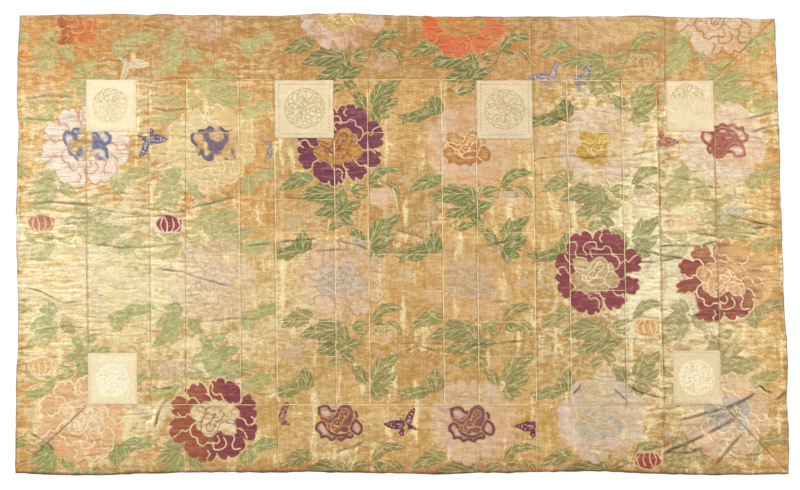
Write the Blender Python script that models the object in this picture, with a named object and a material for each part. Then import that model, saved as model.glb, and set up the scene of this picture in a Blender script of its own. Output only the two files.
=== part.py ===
# Patchwork brocade wall hanging, seen face on.
# Frame: metres, +Z up, +X to the right of someone facing it, front towards -Y.
# Origin: the middle of the top edge, on the back of the cloth.
#
# Seven upright panels alternate with six narrow strips, four mitred border
# lengths go round them, and six square patches lie on the panels' ends.
# Every piece is a thin sheet on one common relief: slow sways that grow from
# the held top edge, and soft ridges and troughs along the creases.

import math

import bmesh
import bpy

# ---------------------------------------------------------------- sizes
CLOTH = 0.0020          # lined brocade
PATCH = 0.0010          # square patches
GAP = 0.0003            # between neighbouring pieces
MITRE = GAP / math.sqrt(2.0)
PITCH = 0.052           # usual distance between rows and columns of points
FINE = 0.026            # the same where the deep folds are

# Outline, a row for each place where it bends: (along, across)
TOP_EDGE = [(-0.985, 0.0000), (-0.760, 0.0040), (-0.550, 0.0020), (-0.345, -0.0010),
            (-0.136, 0.0060), (0.000, 0.0000), (0.280, -0.0040), (0.600, -0.0010),
            (0.800, -0.0060), (0.985, -0.0085)]                       # (x, z)
BOTTOM_EDGE = [(-0.972, -1.183), (-0.800, -1.188), (-0.600, -1.183), (-0.235, -1.180),
               (0.070, -1.185), (0.300, -1.182), (0.480, -1.178), (0.700, -1.186),
               (0.850, -1.188), (0.997, -1.185)]                      # (x, z)
LEFT_EDGE = [(0.000, -0.985), (-0.200, -0.988), (-0.310, -0.982), (-0.500, -0.983),
             (-0.800, -0.973), (-1.000, -0.974), (-1.183, -0.972)]    # (z, x)
RIGHT_EDGE = [(-0.0085, 0.985), (-0.200, 0.987), (-0.400, 0.991), (-0.700, 0.993),
              (-0.900, 0.999), (-1.000, 0.996), (-1.100, 0.999), (-1.185, 0.997)]

# Upright seams: (x where it meets the top seam, x where it meets the bottom seam)
SEAMS = [(-0.809, -0.789), (-0.645, -0.626), (-0.547, -0.537), (-0.413, -0.399),
         (-0.320, -0.306), (-0.165, -0.155), (-0.078, -0.069), (0.114, 0.121),
         (0.204, 0.210), (0.351, 0.357), (0.440, 0.447), (0.583, 0.589),
         (0.673, 0.680), (0.821, 0.829)]
# Level seams between the borders and the panels: (z at the first seam, z at the last)
TOP_SEAM = (-0.169, -0.172)
BOTTOM_SEAM = (-1.010, -1.008)

# Square patches: (panel, share of the panel's width from, to, z from, z to)
SQUARES = [
    ("square_1", 1, 0.00, 0.81, "top", -0.308),
    ("square_2", 3, 0.00, 1.00, "top", -0.324),
    ("square_3", 5, 0.00, 1.00, "top", -0.327),
    ("square_4", 7, 0.16, 1.00, "top", -0.307),
    ("square_5", 1, 0.00, 0.78, -0.877, "bottom"),
    ("square_6", 7, 0.17, 1.00, -0.870, "bottom"),
]

# Slow sways of the hanging cloth: (period along x, lean in x for 1 m down, phase, height)
SWAYS = [(0.93, 0.10, 0.4, 0.0050),
         (0.41, -0.06, 2.1, 0.0026),
         (0.27, 0.15, 4.4, 0.0012)]
HANG_DEPTH = 0.16       # the sways reach most of their height this far down

# Creases: (x, z of one end, x, z of the other, height, half width); below 0 is a trough
CREASES = [
    (-0.980, -0.600, -0.300, -0.590, 0.0030, 0.016),   # storage fold, left part
    (-0.300, -0.590, 0.350, -0.597, 0.0034, 0.016),    # storage fold, middle
    (0.350, -0.597, 0.990, -0.584, 0.0030, 0.016),     # storage fold, right part
    (-0.545, -0.515, -0.412, -0.478, -0.0030, 0.014),
    (-0.620, -0.660, -0.450, -0.702, 0.0030, 0.016),
    (-0.975, -0.708, -0.850, -0.750, 0.0030, 0.014),
    (0.900, -0.555, 0.980, -0.556, -0.0030, 0.014),
    (0.905, -0.975, 0.830, -1.016, 0.0085, 0.018),     # lower right, upper ridge
    (0.830, -1.016, 0.775, -1.036, 0.0060, 0.018),
    (0.868, -1.042, 0.785, -1.083, -0.0060, 0.016),    # lower right, trough between
    (0.785, -1.083, 0.702, -1.117, -0.0050, 0.016),
    (0.858, -1.068, 0.800, -1.104, 0.0080, 0.017),     # lower right, lower ridge
    (0.885, -1.080, 0.805, -1.172, 0.0050, 0.020),
    (0.990, -0.973, 0.962, -0.998, 0.0040, 0.014),
    (-0.612, -1.000, -0.605, -1.098, 0.0050, 0.016),   # lower left, upright
]


# ---------------------------------------------------------------- geometry rules
def smooth(t):
    t = max(0.0, min(1.0, t))
    return t * t * (3.0 - 2.0 * t)


def along(table, s):
    """Value at s of a table of (s, value) rows, rising or falling, eased between rows."""
    rows = sorted(table)
    if s <= rows[0][0]:
        return rows[0][1]
    for (s0, v0), (s1, v1) in zip(rows, rows[1:]):
        if s <= s1:
            return v0 + (v1 - v0) * smooth((s - s0) / (s1 - s0))
    return rows[-1][1]


def crease_profile(x, z, row):
    x0, z0, x1, z1, height, half = row
    dx, dz = x1 - x0, z1 - z0
    length = math.hypot(dx, dz)
    t = ((x - x0) * dx + (z - z0) * dz) / (length * length)
    off = abs((x - x0) * dz - (z - z0) * dx) / length
    beyond = max(0.0, -t, t - 1.0) * length
    return height * math.exp(-(off / half) ** 2 - (beyond / (1.6 * half)) ** 2)


def relief(x, z):
    """How far the back of the cloth stands in front of the plane it hangs on."""
    hang = 1.0 - math.exp(-max(0.0, -z) / HANG_DEPTH)
    out = 0.0
    for period, lean, phase, height in SWAYS:
        out += hang * height * 0.5 * (1.0 + math.sin(2.0 * math.pi * (x - lean * z) / period + phase))
    edge = smooth(-z / 0.05)
    for row in CREASES:
        out += edge * crease_profile(x, z, row)
    return max(0.0, out)


def level_seam(ends, x):
    x0, x1 = SEAMS[0][0], SEAMS[-1][0]
    return ends[0] + (ends[1] - ends[0]) * (x - x0) / (x1 - x0)


def upright_seam(i, z):
    top, bottom = SEAMS[i]
    zt, zb = level_seam(TOP_SEAM, top), level_seam(BOTTOM_SEAM, bottom)
    return top + (bottom - top) * (z - zt) / (zb - zt)


def shares(start, stop, pitch, keep=()):
    """Values from start to stop at about one pitch apart, with each value of keep among them."""
    marks = sorted({start, stop, *keep}, reverse=start > stop)
    out = [marks[0]]
    for a, b in zip(marks, marks[1:]):
        n = max(1, round(abs(b - a) / pitch))
        out += [a + (b - a) * k / n for k in range(1, n + 1)]
    return out


# ---------------------------------------------------------------- building
def cloth_material(name, colour, roughness, metallic):
    mat = bpy.data.materials.new(name)
    mat.use_nodes = True
    shader = mat.node_tree.nodes["Principled BSDF"]
    shader.inputs["Base Color"].default_value = (*colour, 1.0)
    shader.inputs["Roughness"].default_value = roughness
    shader.inputs["Metallic"].default_value = metallic
    mat.diffuse_color = (*colour, 1.0)
    return mat


def sheet(name, lattice, thickness, stand_off, material, parent):
    """One closed sheet on a lattice of plan points (x, z), following the relief."""
    cx = sum(p[0] for row in lattice for p in row) / sum(len(r) for r in lattice)
    cz = sum(p[1] for row in lattice for p in row) / sum(len(r) for r in lattice)
    bm = bmesh.new()
    points = [[bm.verts.new((x - cx, -relief(x, z) - stand_off, z - cz)) for x, z in row]
              for row in lattice]
    for upper, lower in zip(points, points[1:]):
        for j in range(len(upper) - 1):
            bm.faces.new((upper[j], lower[j], lower[j + 1]))
            bm.faces.new((upper[j], lower[j + 1], upper[j + 1]))
    made = bmesh.ops.extrude_face_region(bm, geom=list(bm.faces))
    front = [v for v in made["geom"] if isinstance(v, bmesh.types.BMVert)]
    bmesh.ops.translate(bm, verts=front, vec=(0.0, -thickness, 0.0))
    bmesh.ops.recalc_face_normals(bm, faces=list(bm.faces))
    mesh = bpy.data.meshes.new(name)
    bm.to_mesh(mesh)
    bm.free()
    obj = bpy.data.objects.new(name, mesh)
    obj.location = (cx, 0.0, cz)
    obj.data.materials.append(material)
    bpy.context.scene.collection.objects.link(obj)
    obj.parent = parent
    return obj


def ruled(outer, inner, shares_across):
    """Lattice of points between two edges given as equal lists of (x, z)."""
    return [[(a[0] + (b[0] - a[0]) * v, a[1] + (b[1] - a[1]) * v) for a, b in zip(outer, inner)]
            for v in shares_across]


def upright_lattice(left_seam, right_seam, rows, columns, inset=GAP / 2.0):
    """Panel or strip between two upright seams; its first and last rows lie along the level seams."""
    lattice = []
    for level in rows:
        line = []
        for u in columns:
            # the level is given at the panel's left seam; the row runs parallel to the level seams
            z = level
            xl = upright_seam(left_seam, z) + inset
            xr = upright_seam(right_seam, z) - inset
            x = xl + (xr - xl) * u
            if level == "top" or level == rows[0]:
                z = level_seam(TOP_SEAM, x) - inset
            elif level == rows[-1]:
                z = level_seam(BOTTOM_SEAM, x) + inset
            line.append((x, z))
        lattice.append(line)
    return lattice


def panel_rows(left_seam, keep=()):
    top = level_seam(TOP_SEAM, SEAMS[left_seam][0])
    bottom = level_seam(BOTTOM_SEAM, SEAMS[left_seam][1])
    return shares(top, bottom, PITCH, keep=(-0.578, -0.594, -0.610, *keep))


def corner_points():
    tl = (TOP_EDGE[0][0], TOP_EDGE[0][1])
    tr = (TOP_EDGE[-1][0], TOP_EDGE[-1][1])
    bl = (BOTTOM_EDGE[0][0], BOTTOM_EDGE[0][1])
    br = (BOTTOM_EDGE[-1][0], BOTTOM_EDGE[-1][1])
    itl = (SEAMS[0][0], TOP_SEAM[0])
    itr = (SEAMS[-1][0], TOP_SEAM[1])
    ibl = (SEAMS[0][1], level_seam(BOTTOM_SEAM, SEAMS[0][1]))
    ibr = (SEAMS[-1][1], level_seam(BOTTOM_SEAM, SEAMS[-1][1]))
    return tl, tr, bl, br, itl, itr, ibl, ibr


def level_border(edge_table, corner_l, corner_r, inner_l, inner_r, side, us, vs):
    """Top or bottom border: side is +1 above the panels and -1 below them."""
    outer, inner = [], []
    for u in us:
        x = corner_l[0] + MITRE + (corner_r[0] - corner_l[0] - 2.0 * MITRE) * u
        outer.append((x, along(edge_table, x)))
        xi = inner_l[0] + MITRE + (inner_r[0] - inner_l[0] - 2.0 * MITRE) * u
        zi = inner_l[1] + (inner_r[1] - inner_l[1]) * u
        inner.append((xi, zi + side * GAP / 2.0))
    return ruled(outer, inner, vs)


def upright_border(edge_table, corner_t, corner_b, inner_t, inner_b, side, us, vs):
    """Left or right border: side is -1 left of the panels and +1 right of them."""
    outer, inner = [], []
    for u in us:
        z = corner_t[1] - MITRE + (corner_b[1] - corner_t[1] + 2.0 * MITRE) * u
        outer.append((along(edge_table, z), z))
        zi = inner_t[1] - MITRE + (inner_b[1] - inner_t[1] + 2.0 * MITRE) * u
        xi = inner_t[0] + (inner_b[0] - inner_t[0]) * u
        inner.append((xi + side * GAP / 2.0, zi))
    return ruled(outer, inner, vs)


def build():
    for obj in list(bpy.data.objects):
        bpy.data.objects.remove(obj, do_unlink=True)

    brocade = cloth_material("brocade_panel", (0.72, 0.50, 0.24), 0.48, 0.35)
    strip_cloth = cloth_material("brocade_strip", (0.76, 0.55, 0.28), 0.48, 0.35)
    border_cloth = cloth_material("brocade_border", (0.66, 0.45, 0.20), 0.48, 0.35)
    pale = cloth_material("square_silk", (0.86, 0.72, 0.47), 0.60, 0.10)

    top = bpy.data.objects.new("top_edge_middle", None)
    bpy.context.scene.collection.objects.link(top)

    # panels and strips between the upright seams, left to right
    across = {}
    rows_of = {}
    for k in range(1, 8):
        marks, levels = [], []
        for _, panel, a, b, z0, z1 in SQUARES:
            if panel == k:
                marks += [v for v in (a, b) if 0.0 < v < 1.0]
                levels += [v for v in (z0, z1) if not isinstance(v, str)]
        width = SEAMS[2 * k - 1][0] - SEAMS[2 * k - 2][0]
        pitch = PITCH
        if k == 7:
            levels += [-0.905, -0.940, -0.965, -0.987]
            pitch = 0.036
        across[k] = shares(0.0, 1.0, pitch / width, keep=marks)
        rows_of[k] = panel_rows(2 * k - 2, keep=levels)
        sheet("column_%d" % k,
              upright_lattice(2 * k - 2, 2 * k - 1, rows_of[k], across[k]),
              CLOTH, 0.0, brocade, top)
    for k in range(1, 7):
        sheet("strip_%d" % k,
              upright_lattice(2 * k - 1, 2 * k, panel_rows(2 * k - 1), shares(0.0, 1.0, 0.5)),
              CLOTH, 0.0, strip_cloth, top)

    # borders, mitred at the corners
    tl, tr, bl, br, itl, itr, ibl, ibr = corner_points()
    span = tr[0] - tl[0]
    drop = tl[1] - bl[1]
    plain_u = shares(0.0, 1.0, PITCH / span)
    folded_u = shares(0.0, 0.80, PITCH / span) + shares(0.80, 1.0, FINE / span)[1:]
    storage = [0.482, 0.497, 0.512]
    left_u = shares(0.0, 1.0, PITCH / drop, keep=storage)
    right_u = (shares(0.0, 0.76, PITCH / drop, keep=storage)
               + shares(0.76, 1.0, FINE / drop)[1:])
    sheet("border_top", level_border(TOP_EDGE, tl, tr, itl, itr, 1.0, plain_u,
                                     shares(0.0, 1.0, 0.25)), CLOTH, 0.0, border_cloth, top)
    sheet("border_bottom", level_border(BOTTOM_EDGE, bl, br, ibl, ibr, -1.0, folded_u,
                                        shares(0.0, 1.0, 0.145)), CLOTH, 0.0, border_cloth, top)
    sheet("border_left", upright_border(LEFT_EDGE, tl, bl, itl, ibl, -1.0, left_u,
                                        shares(0.0, 1.0, 0.25)), CLOTH, 0.0, border_cloth, top)
    sheet("border_right", upright_border(RIGHT_EDGE, tr, br, itr, ibr, 1.0, right_u,
                                         shares(0.0, 1.0, 0.2)), CLOTH, 0.0, border_cloth, top)

    # square patches: the same points as the panel under them, so the two stay parallel
    for name, k, a, b, z0, z1 in SQUARES:
        columns = [u for u in across[k] if a - 1e-6 <= u <= b + 1e-6]
        rows = rows_of[k]
        first = 0 if z0 == "top" else min(range(len(rows)), key=lambda i: abs(rows[i] - z0))
        last = len(rows) - 1 if z1 == "bottom" else min(range(len(rows)), key=lambda i: abs(rows[i] - z1))
        full = upright_lattice(2 * k - 2, 2 * k - 1, rows, columns)
        lattice = full[first:last + 1]
        sheet(name, lattice, PATCH, CLOTH + GAP + 0.0001, pale, top)


build()
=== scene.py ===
import math

import bpy
import numpy as np
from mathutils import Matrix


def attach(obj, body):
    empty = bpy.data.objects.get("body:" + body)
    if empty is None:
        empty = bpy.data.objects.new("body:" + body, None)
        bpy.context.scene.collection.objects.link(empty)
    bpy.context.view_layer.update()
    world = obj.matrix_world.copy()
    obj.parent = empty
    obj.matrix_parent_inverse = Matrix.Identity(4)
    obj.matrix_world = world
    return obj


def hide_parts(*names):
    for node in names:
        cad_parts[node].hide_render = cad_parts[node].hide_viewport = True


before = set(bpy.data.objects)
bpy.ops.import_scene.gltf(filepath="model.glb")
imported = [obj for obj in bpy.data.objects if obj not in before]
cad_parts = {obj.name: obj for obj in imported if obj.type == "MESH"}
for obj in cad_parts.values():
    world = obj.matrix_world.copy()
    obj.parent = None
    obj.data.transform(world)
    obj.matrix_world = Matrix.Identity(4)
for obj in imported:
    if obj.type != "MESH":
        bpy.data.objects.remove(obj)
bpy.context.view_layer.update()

# ================================================================= camera
CAM_BACK = 3.40            # from the middle of the cloth
CAM_UP = math.radians(3.8)  # how far it looks up
CAM_SENSOR = 36.0
CAM_LENS = CAM_SENSOR * CAM_BACK / 2.064
VIEW_W, VIEW_H = 800.0, 490.0
CAM_AT = np.array([0.0073, -CAM_BACK * math.cos(CAM_UP), -0.6001 - CAM_BACK * math.sin(CAM_UP)])


def at(px, py):
    """Where the view's point (px, py) falls on the plane of the cloth, as (x, z)."""
    px, py = np.asarray(px, float), np.asarray(py, float)
    sx = (px - VIEW_W / 2) / VIEW_W * CAM_SENSOR
    sy = (VIEW_H / 2 - py) / VIEW_W * CAM_SENSOR
    dy = math.cos(CAM_UP) * CAM_LENS - math.sin(CAM_UP) * sy
    dz = math.sin(CAM_UP) * CAM_LENS + math.cos(CAM_UP) * sy
    t = -CAM_AT[1] / dy
    return CAM_AT[0] + t * sx, CAM_AT[2] + t * dz


PX = 0.00258               # one step of the view's grid on the cloth, in metres


def make_camera():
    data = bpy.data.cameras.new("camera")
    data.sensor_width = CAM_SENSOR
    data.sensor_fit = "HORIZONTAL"
    data.lens = CAM_LENS
    data.clip_end = 60.0
    cam = bpy.data.objects.new("camera", data)
    cam.location = CAM_AT.tolist()
    cam.rotation_euler = (math.pi / 2 + CAM_UP, 0.0, 0.0)
    bpy.context.scene.collection.objects.link(cam)
    bpy.context.scene.camera = cam


# ================================================================= sizes, as in the frame
CLOTH = 0.0020
PATCH = 0.0010
TOP_EDGE = [(-0.985, 0.0000), (-0.760, 0.0040), (-0.550, 0.0020), (-0.345, -0.0010),
            (-0.136, 0.0060), (0.000, 0.0000), (0.280, -0.0040), (0.600, -0.0010),
            (0.800, -0.0060), (0.985, -0.0085)]
BOTTOM_EDGE = [(-0.972, -1.183), (-0.800, -1.188), (-0.600, -1.183), (-0.235, -1.180),
               (0.070, -1.185), (0.300, -1.182), (0.480, -1.178), (0.700, -1.186),
               (0.850, -1.188), (0.997, -1.185)]
LEFT_EDGE = [(0.000, -0.985), (-0.200, -0.988), (-0.310, -0.982), (-0.500, -0.983),
             (-0.800, -0.973), (-1.000, -0.974), (-1.183, -0.972)]
RIGHT_EDGE = [(-0.0085, 0.985), (-0.200, 0.987), (-0.400, 0.991), (-0.700, 0.993),
              (-0.900, 0.999), (-1.000, 0.996), (-1.100, 0.999), (-1.185, 0.997)]
SEAMS = [(-0.809, -0.789), (-0.645, -0.626), (-0.547, -0.537), (-0.413, -0.399),
         (-0.320, -0.306), (-0.165, -0.155), (-0.078, -0.069), (0.114, 0.121),
         (0.204, 0.210), (0.351, 0.357), (0.440, 0.447), (0.583, 0.589),
         (0.673, 0.680), (0.821, 0.829)]
TOP_SEAM = (-0.169, -0.172)
BOTTOM_SEAM = (-1.010, -1.008)
SQUARES = [
    ("square_1", 1, 0.00, 0.81, "top", -0.308),
    ("square_2", 3, 0.00, 1.00, "top", -0.324),
    ("square_3", 5, 0.00, 1.00, "top", -0.327),
    ("square_4", 7, 0.16, 1.00, "top", -0.307),
    ("square_5", 1, 0.00, 0.78, -0.877, "bottom"),
    ("square_6", 7, 0.17, 1.00, -0.870, "bottom"),
]
SWAYS = [(0.93, 0.10, 0.4, 0.0050),
         (0.41, -0.06, 2.1, 0.0026),
         (0.27, 0.15, 4.4, 0.0012)]
HANG_DEPTH = 0.16
CREASES = [
    (-0.980, -0.600, -0.300, -0.590, 0.0030, 0.016),
    (-0.300, -0.590, 0.350, -0.597, 0.0034, 0.016),
    (0.350, -0.597, 0.990, -0.584, 0.0030, 0.016),
    (-0.545, -0.515, -0.412, -0.478, -0.0030, 0.014),
    (-0.620, -0.660, -0.450, -0.702, 0.0030, 0.016),
    (-0.975, -0.708, -0.850, -0.750, 0.0030, 0.014),
    (0.900, -0.555, 0.980, -0.556, -0.0030, 0.014),
    (0.905, -0.975, 0.830, -1.016, 0.0085, 0.018),
    (0.830, -1.016, 0.775, -1.036, 0.0060, 0.018),
    (0.868, -1.042, 0.785, -1.083, -0.0060, 0.016),
    (0.785, -1.083, 0.702, -1.117, -0.0050, 0.016),
    (0.858, -1.068, 0.800, -1.104, 0.0080, 0.017),
    (0.885, -1.080, 0.805, -1.172, 0.0050, 0.020),
    (0.990, -0.973, 0.962, -0.998, 0.0040, 0.014),
    (-0.612, -1.000, -0.605, -1.098, 0.0050, 0.016),
]


def smooth(t):
    t = np.clip(t, 0.0, 1.0)
    return t * t * (3.0 - 2.0 * t)


def along(table, s):
    rows = sorted(table)
    s = np.asarray(s, float)
    out = np.full(s.shape, rows[0][1], float)
    for (s0, v0), (s1, v1) in zip(rows, rows[1:]):
        part = s >= s0
        out[part] = v0 + (v1 - v0) * smooth((s[part] - s0) / (s1 - s0))
    return out


def relief(x, z):
    x, z = np.asarray(x, float), np.asarray(z, float)
    hang = 1.0 - np.exp(-np.maximum(0.0, -z) / HANG_DEPTH)
    out = np.zeros(np.broadcast(x, z).shape)
    for period, lean, phase, height in SWAYS:
        out += hang * height * 0.5 * (1.0 + np.sin(2.0 * np.pi * (x - lean * z) / period + phase))
    edge = smooth(-z / 0.05)
    for x0, z0, x1, z1, height, half in CREASES:
        dx, dz = x1 - x0, z1 - z0
        length = math.hypot(dx, dz)
        t = ((x - x0) * dx + (z - z0) * dz) / (length * length)
        off = np.abs((x - x0) * dz - (z - z0) * dx) / length
        beyond = np.maximum(0.0, np.maximum(-t, t - 1.0)) * length
        out += edge * height * np.exp(-(off / half) ** 2 - (beyond / (1.6 * half)) ** 2)
    return np.maximum(0.0, out)


def level_seam(ends, x):
    x0, x1 = SEAMS[0][0], SEAMS[-1][0]
    return ends[0] + (ends[1] - ends[0]) * (x - x0) / (x1 - x0)


def upright_seam(i, z):
    top, bottom = SEAMS[i]
    zt, zb = level_seam(TOP_SEAM, top), level_seam(BOTTOM_SEAM, bottom)
    return top + (bottom - top) * (z - zt) / (zb - zt)


TL, TR = (TOP_EDGE[0][0], TOP_EDGE[0][1]), (TOP_EDGE[-1][0], TOP_EDGE[-1][1])
BL, BR = (BOTTOM_EDGE[0][0], BOTTOM_EDGE[0][1]), (BOTTOM_EDGE[-1][0], BOTTOM_EDGE[-1][1])
ITL, ITR = (SEAMS[0][0], TOP_SEAM[0]), (SEAMS[-1][0], TOP_SEAM[1])
IBL = (SEAMS[0][1], float(level_seam(BOTTOM_SEAM, SEAMS[0][1])))
IBR = (SEAMS[-1][1], float(level_seam(BOTTOM_SEAM, SEAMS[-1][1])))


# ================================================================= noise
def cells(seed):
    return np.random.RandomState(seed).rand(256, 256) * 2.0 - 1.0


_cells = {}


def noise(u, v, seed):
    """Smooth noise from -1 to 1, one bump to a unit."""
    if seed not in _cells:
        _cells[seed] = cells(seed)
    g = _cells[seed]
    iu, iv = np.floor(u).astype(int), np.floor(v).astype(int)
    fu, fv = u - iu, v - iv
    fu, fv = fu * fu * (3 - 2 * fu), fv * fv * (3 - 2 * fv)
    a, b = g[iu & 255, iv & 255], g[(iu + 1) & 255, iv & 255]
    c, d = g[iu & 255, (iv + 1) & 255], g[(iu + 1) & 255, (iv + 1) & 255]
    return (a * (1 - fu) + b * fu) * (1 - fv) + (c * (1 - fu) + d * fu) * fv


def layered(u, v, seed, octaves=3):
    out, size, total = 0.0, 1.0, 0.0
    for k in range(octaves):
        out = out + size * noise(u * 2 ** k + 7.3 * k, v * 2 ** k + 3.1 * k, seed + k)
        total += size
        size *= 0.5
    return out / total


# ================================================================= seams
# Cross seams of the panels, at these heights in the view: odd panels, then even ones
ODD_CROSS, EVEN_CROSS = (199.3, 232.8, 321.5, 356.5), (132.8, 167.4, 254.5, 290.9)
# Seams that carry on across the borders: (view x at the inner end, view x at the hem, border)
BORDER_SEAMS = [(278.0, 278.5, "bottom"), (536.0, 536.5, "bottom"), (664.5, 665.5, "bottom"),
                (150.5, 151.0, "top"), (530.0, 529.5, "top"), (576.5, 577.0, "top"),
                (663.5, 663.0, "top"), (216.0, 216.5, "top")]


def level_z(py):
    return float(at(400.0, py)[1])


def seam_lines():
    """Every sewn line as (x0, z0, x1, z1, kind, a number)."""
    lines = []
    for i, (xt, xb) in enumerate(SEAMS):
        lines.append((xt, float(level_seam(TOP_SEAM, xt)), xb, float(level_seam(BOTTOM_SEAM, xb)), "upright", i))
    for i in range(14 - 1):
        for seam, kind in ((TOP_SEAM, "top"), (BOTTOM_SEAM, "bottom")):
            xs = (SEAMS[i][0], SEAMS[i + 1][0]) if kind == "top" else (SEAMS[i][1], SEAMS[i + 1][1])
            lines.append((xs[0], float(level_seam(seam, xs[0])), xs[1], float(level_seam(seam, xs[1])), kind, i))
    for a, b in ((TL, ITL), (TR, ITR), (BL, IBL), (BR, IBR)):
        lines.append((a[0], a[1], b[0], b[1], "mitre", 0))
    for k in range(1, 8):
        for py in (ODD_CROSS if k % 2 else EVEN_CROSS):
            z = level_z(py)
            xl, xr = float(upright_seam(2 * k - 2, z)), float(upright_seam(2 * k - 1, z))
            lines.append((xl, z + 0.0008 * math.sin(k * 2.1 + py), xr, z - 0.0008 * math.sin(k * 1.3 + py), "cross", k))
    for xi, xo, border in BORDER_SEAMS:
        if border == "bottom":
            x0, z0 = at(xi, 405.0)
            x1, z1 = at(xo, 473.0)
            z0 = float(level_seam(BOTTOM_SEAM, float(x0)))
        else:
            x0, z0 = at(xi, 80.5)
            x1, z1 = at(xo, 15.0)
            z0 = float(level_seam(TOP_SEAM, float(x0)))
        lines.append((float(x0), float(z0), float(x1), float(z1), "border", 0))
    return lines


LINES = seam_lines()


def seam_distance(x, z):
    """Distance to the nearest sewn line, and to the nearest upright one."""
    best = np.full(x.shape, 9.0)
    upright = np.full(x.shape, 9.0)
    for x0, z0, x1, z1, kind, _ in LINES:
        dx, dz = x1 - x0, z1 - z0
        t = np.clip(((x - x0) * dx + (z - z0) * dz) / (dx * dx + dz * dz), 0.0, 1.0)
        d = np.hypot(x - (x0 + t * dx), z - (z0 + t * dz))
        if kind in ("cross", "border"):
            d = d + 0.0004
        np.minimum(best, d, out=best)
        if kind == "upright":
            np.minimum(upright, d, out=upright)
    return best, upright


def square_box(row):
    """A square patch's corners on the cloth, as functions of z for its two sides."""
    name, k, a, b, z0, z1 = row

    def side(u, z):
        left, right = upright_seam(2 * k - 2, z), upright_seam(2 * k - 1, z)
        return left + (right - left) * u

    mid = side(0.5 * (a + b), -0.6)
    top = float(level_seam(TOP_SEAM, mid)) if z0 == "top" else z0
    bottom = float(level_seam(BOTTOM_SEAM, mid)) if z1 == "bottom" else z1
    return side, a, b, top, bottom


def square_mask(x, z, margin=0.005):
    """1 away from the square patches and 0 under them, easing over the margin."""
    out = np.ones(x.shape)
    for row in SQUARES:
        side, a, b, top, bottom = square_box(row)
        dx = np.maximum(side(a, z) - x, x - side(b, z))
        dz = np.maximum(bottom - z, z - top)
        outside = np.maximum(dx, dz)
        out = np.minimum(out, smooth(outside / margin))
    return out


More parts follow.
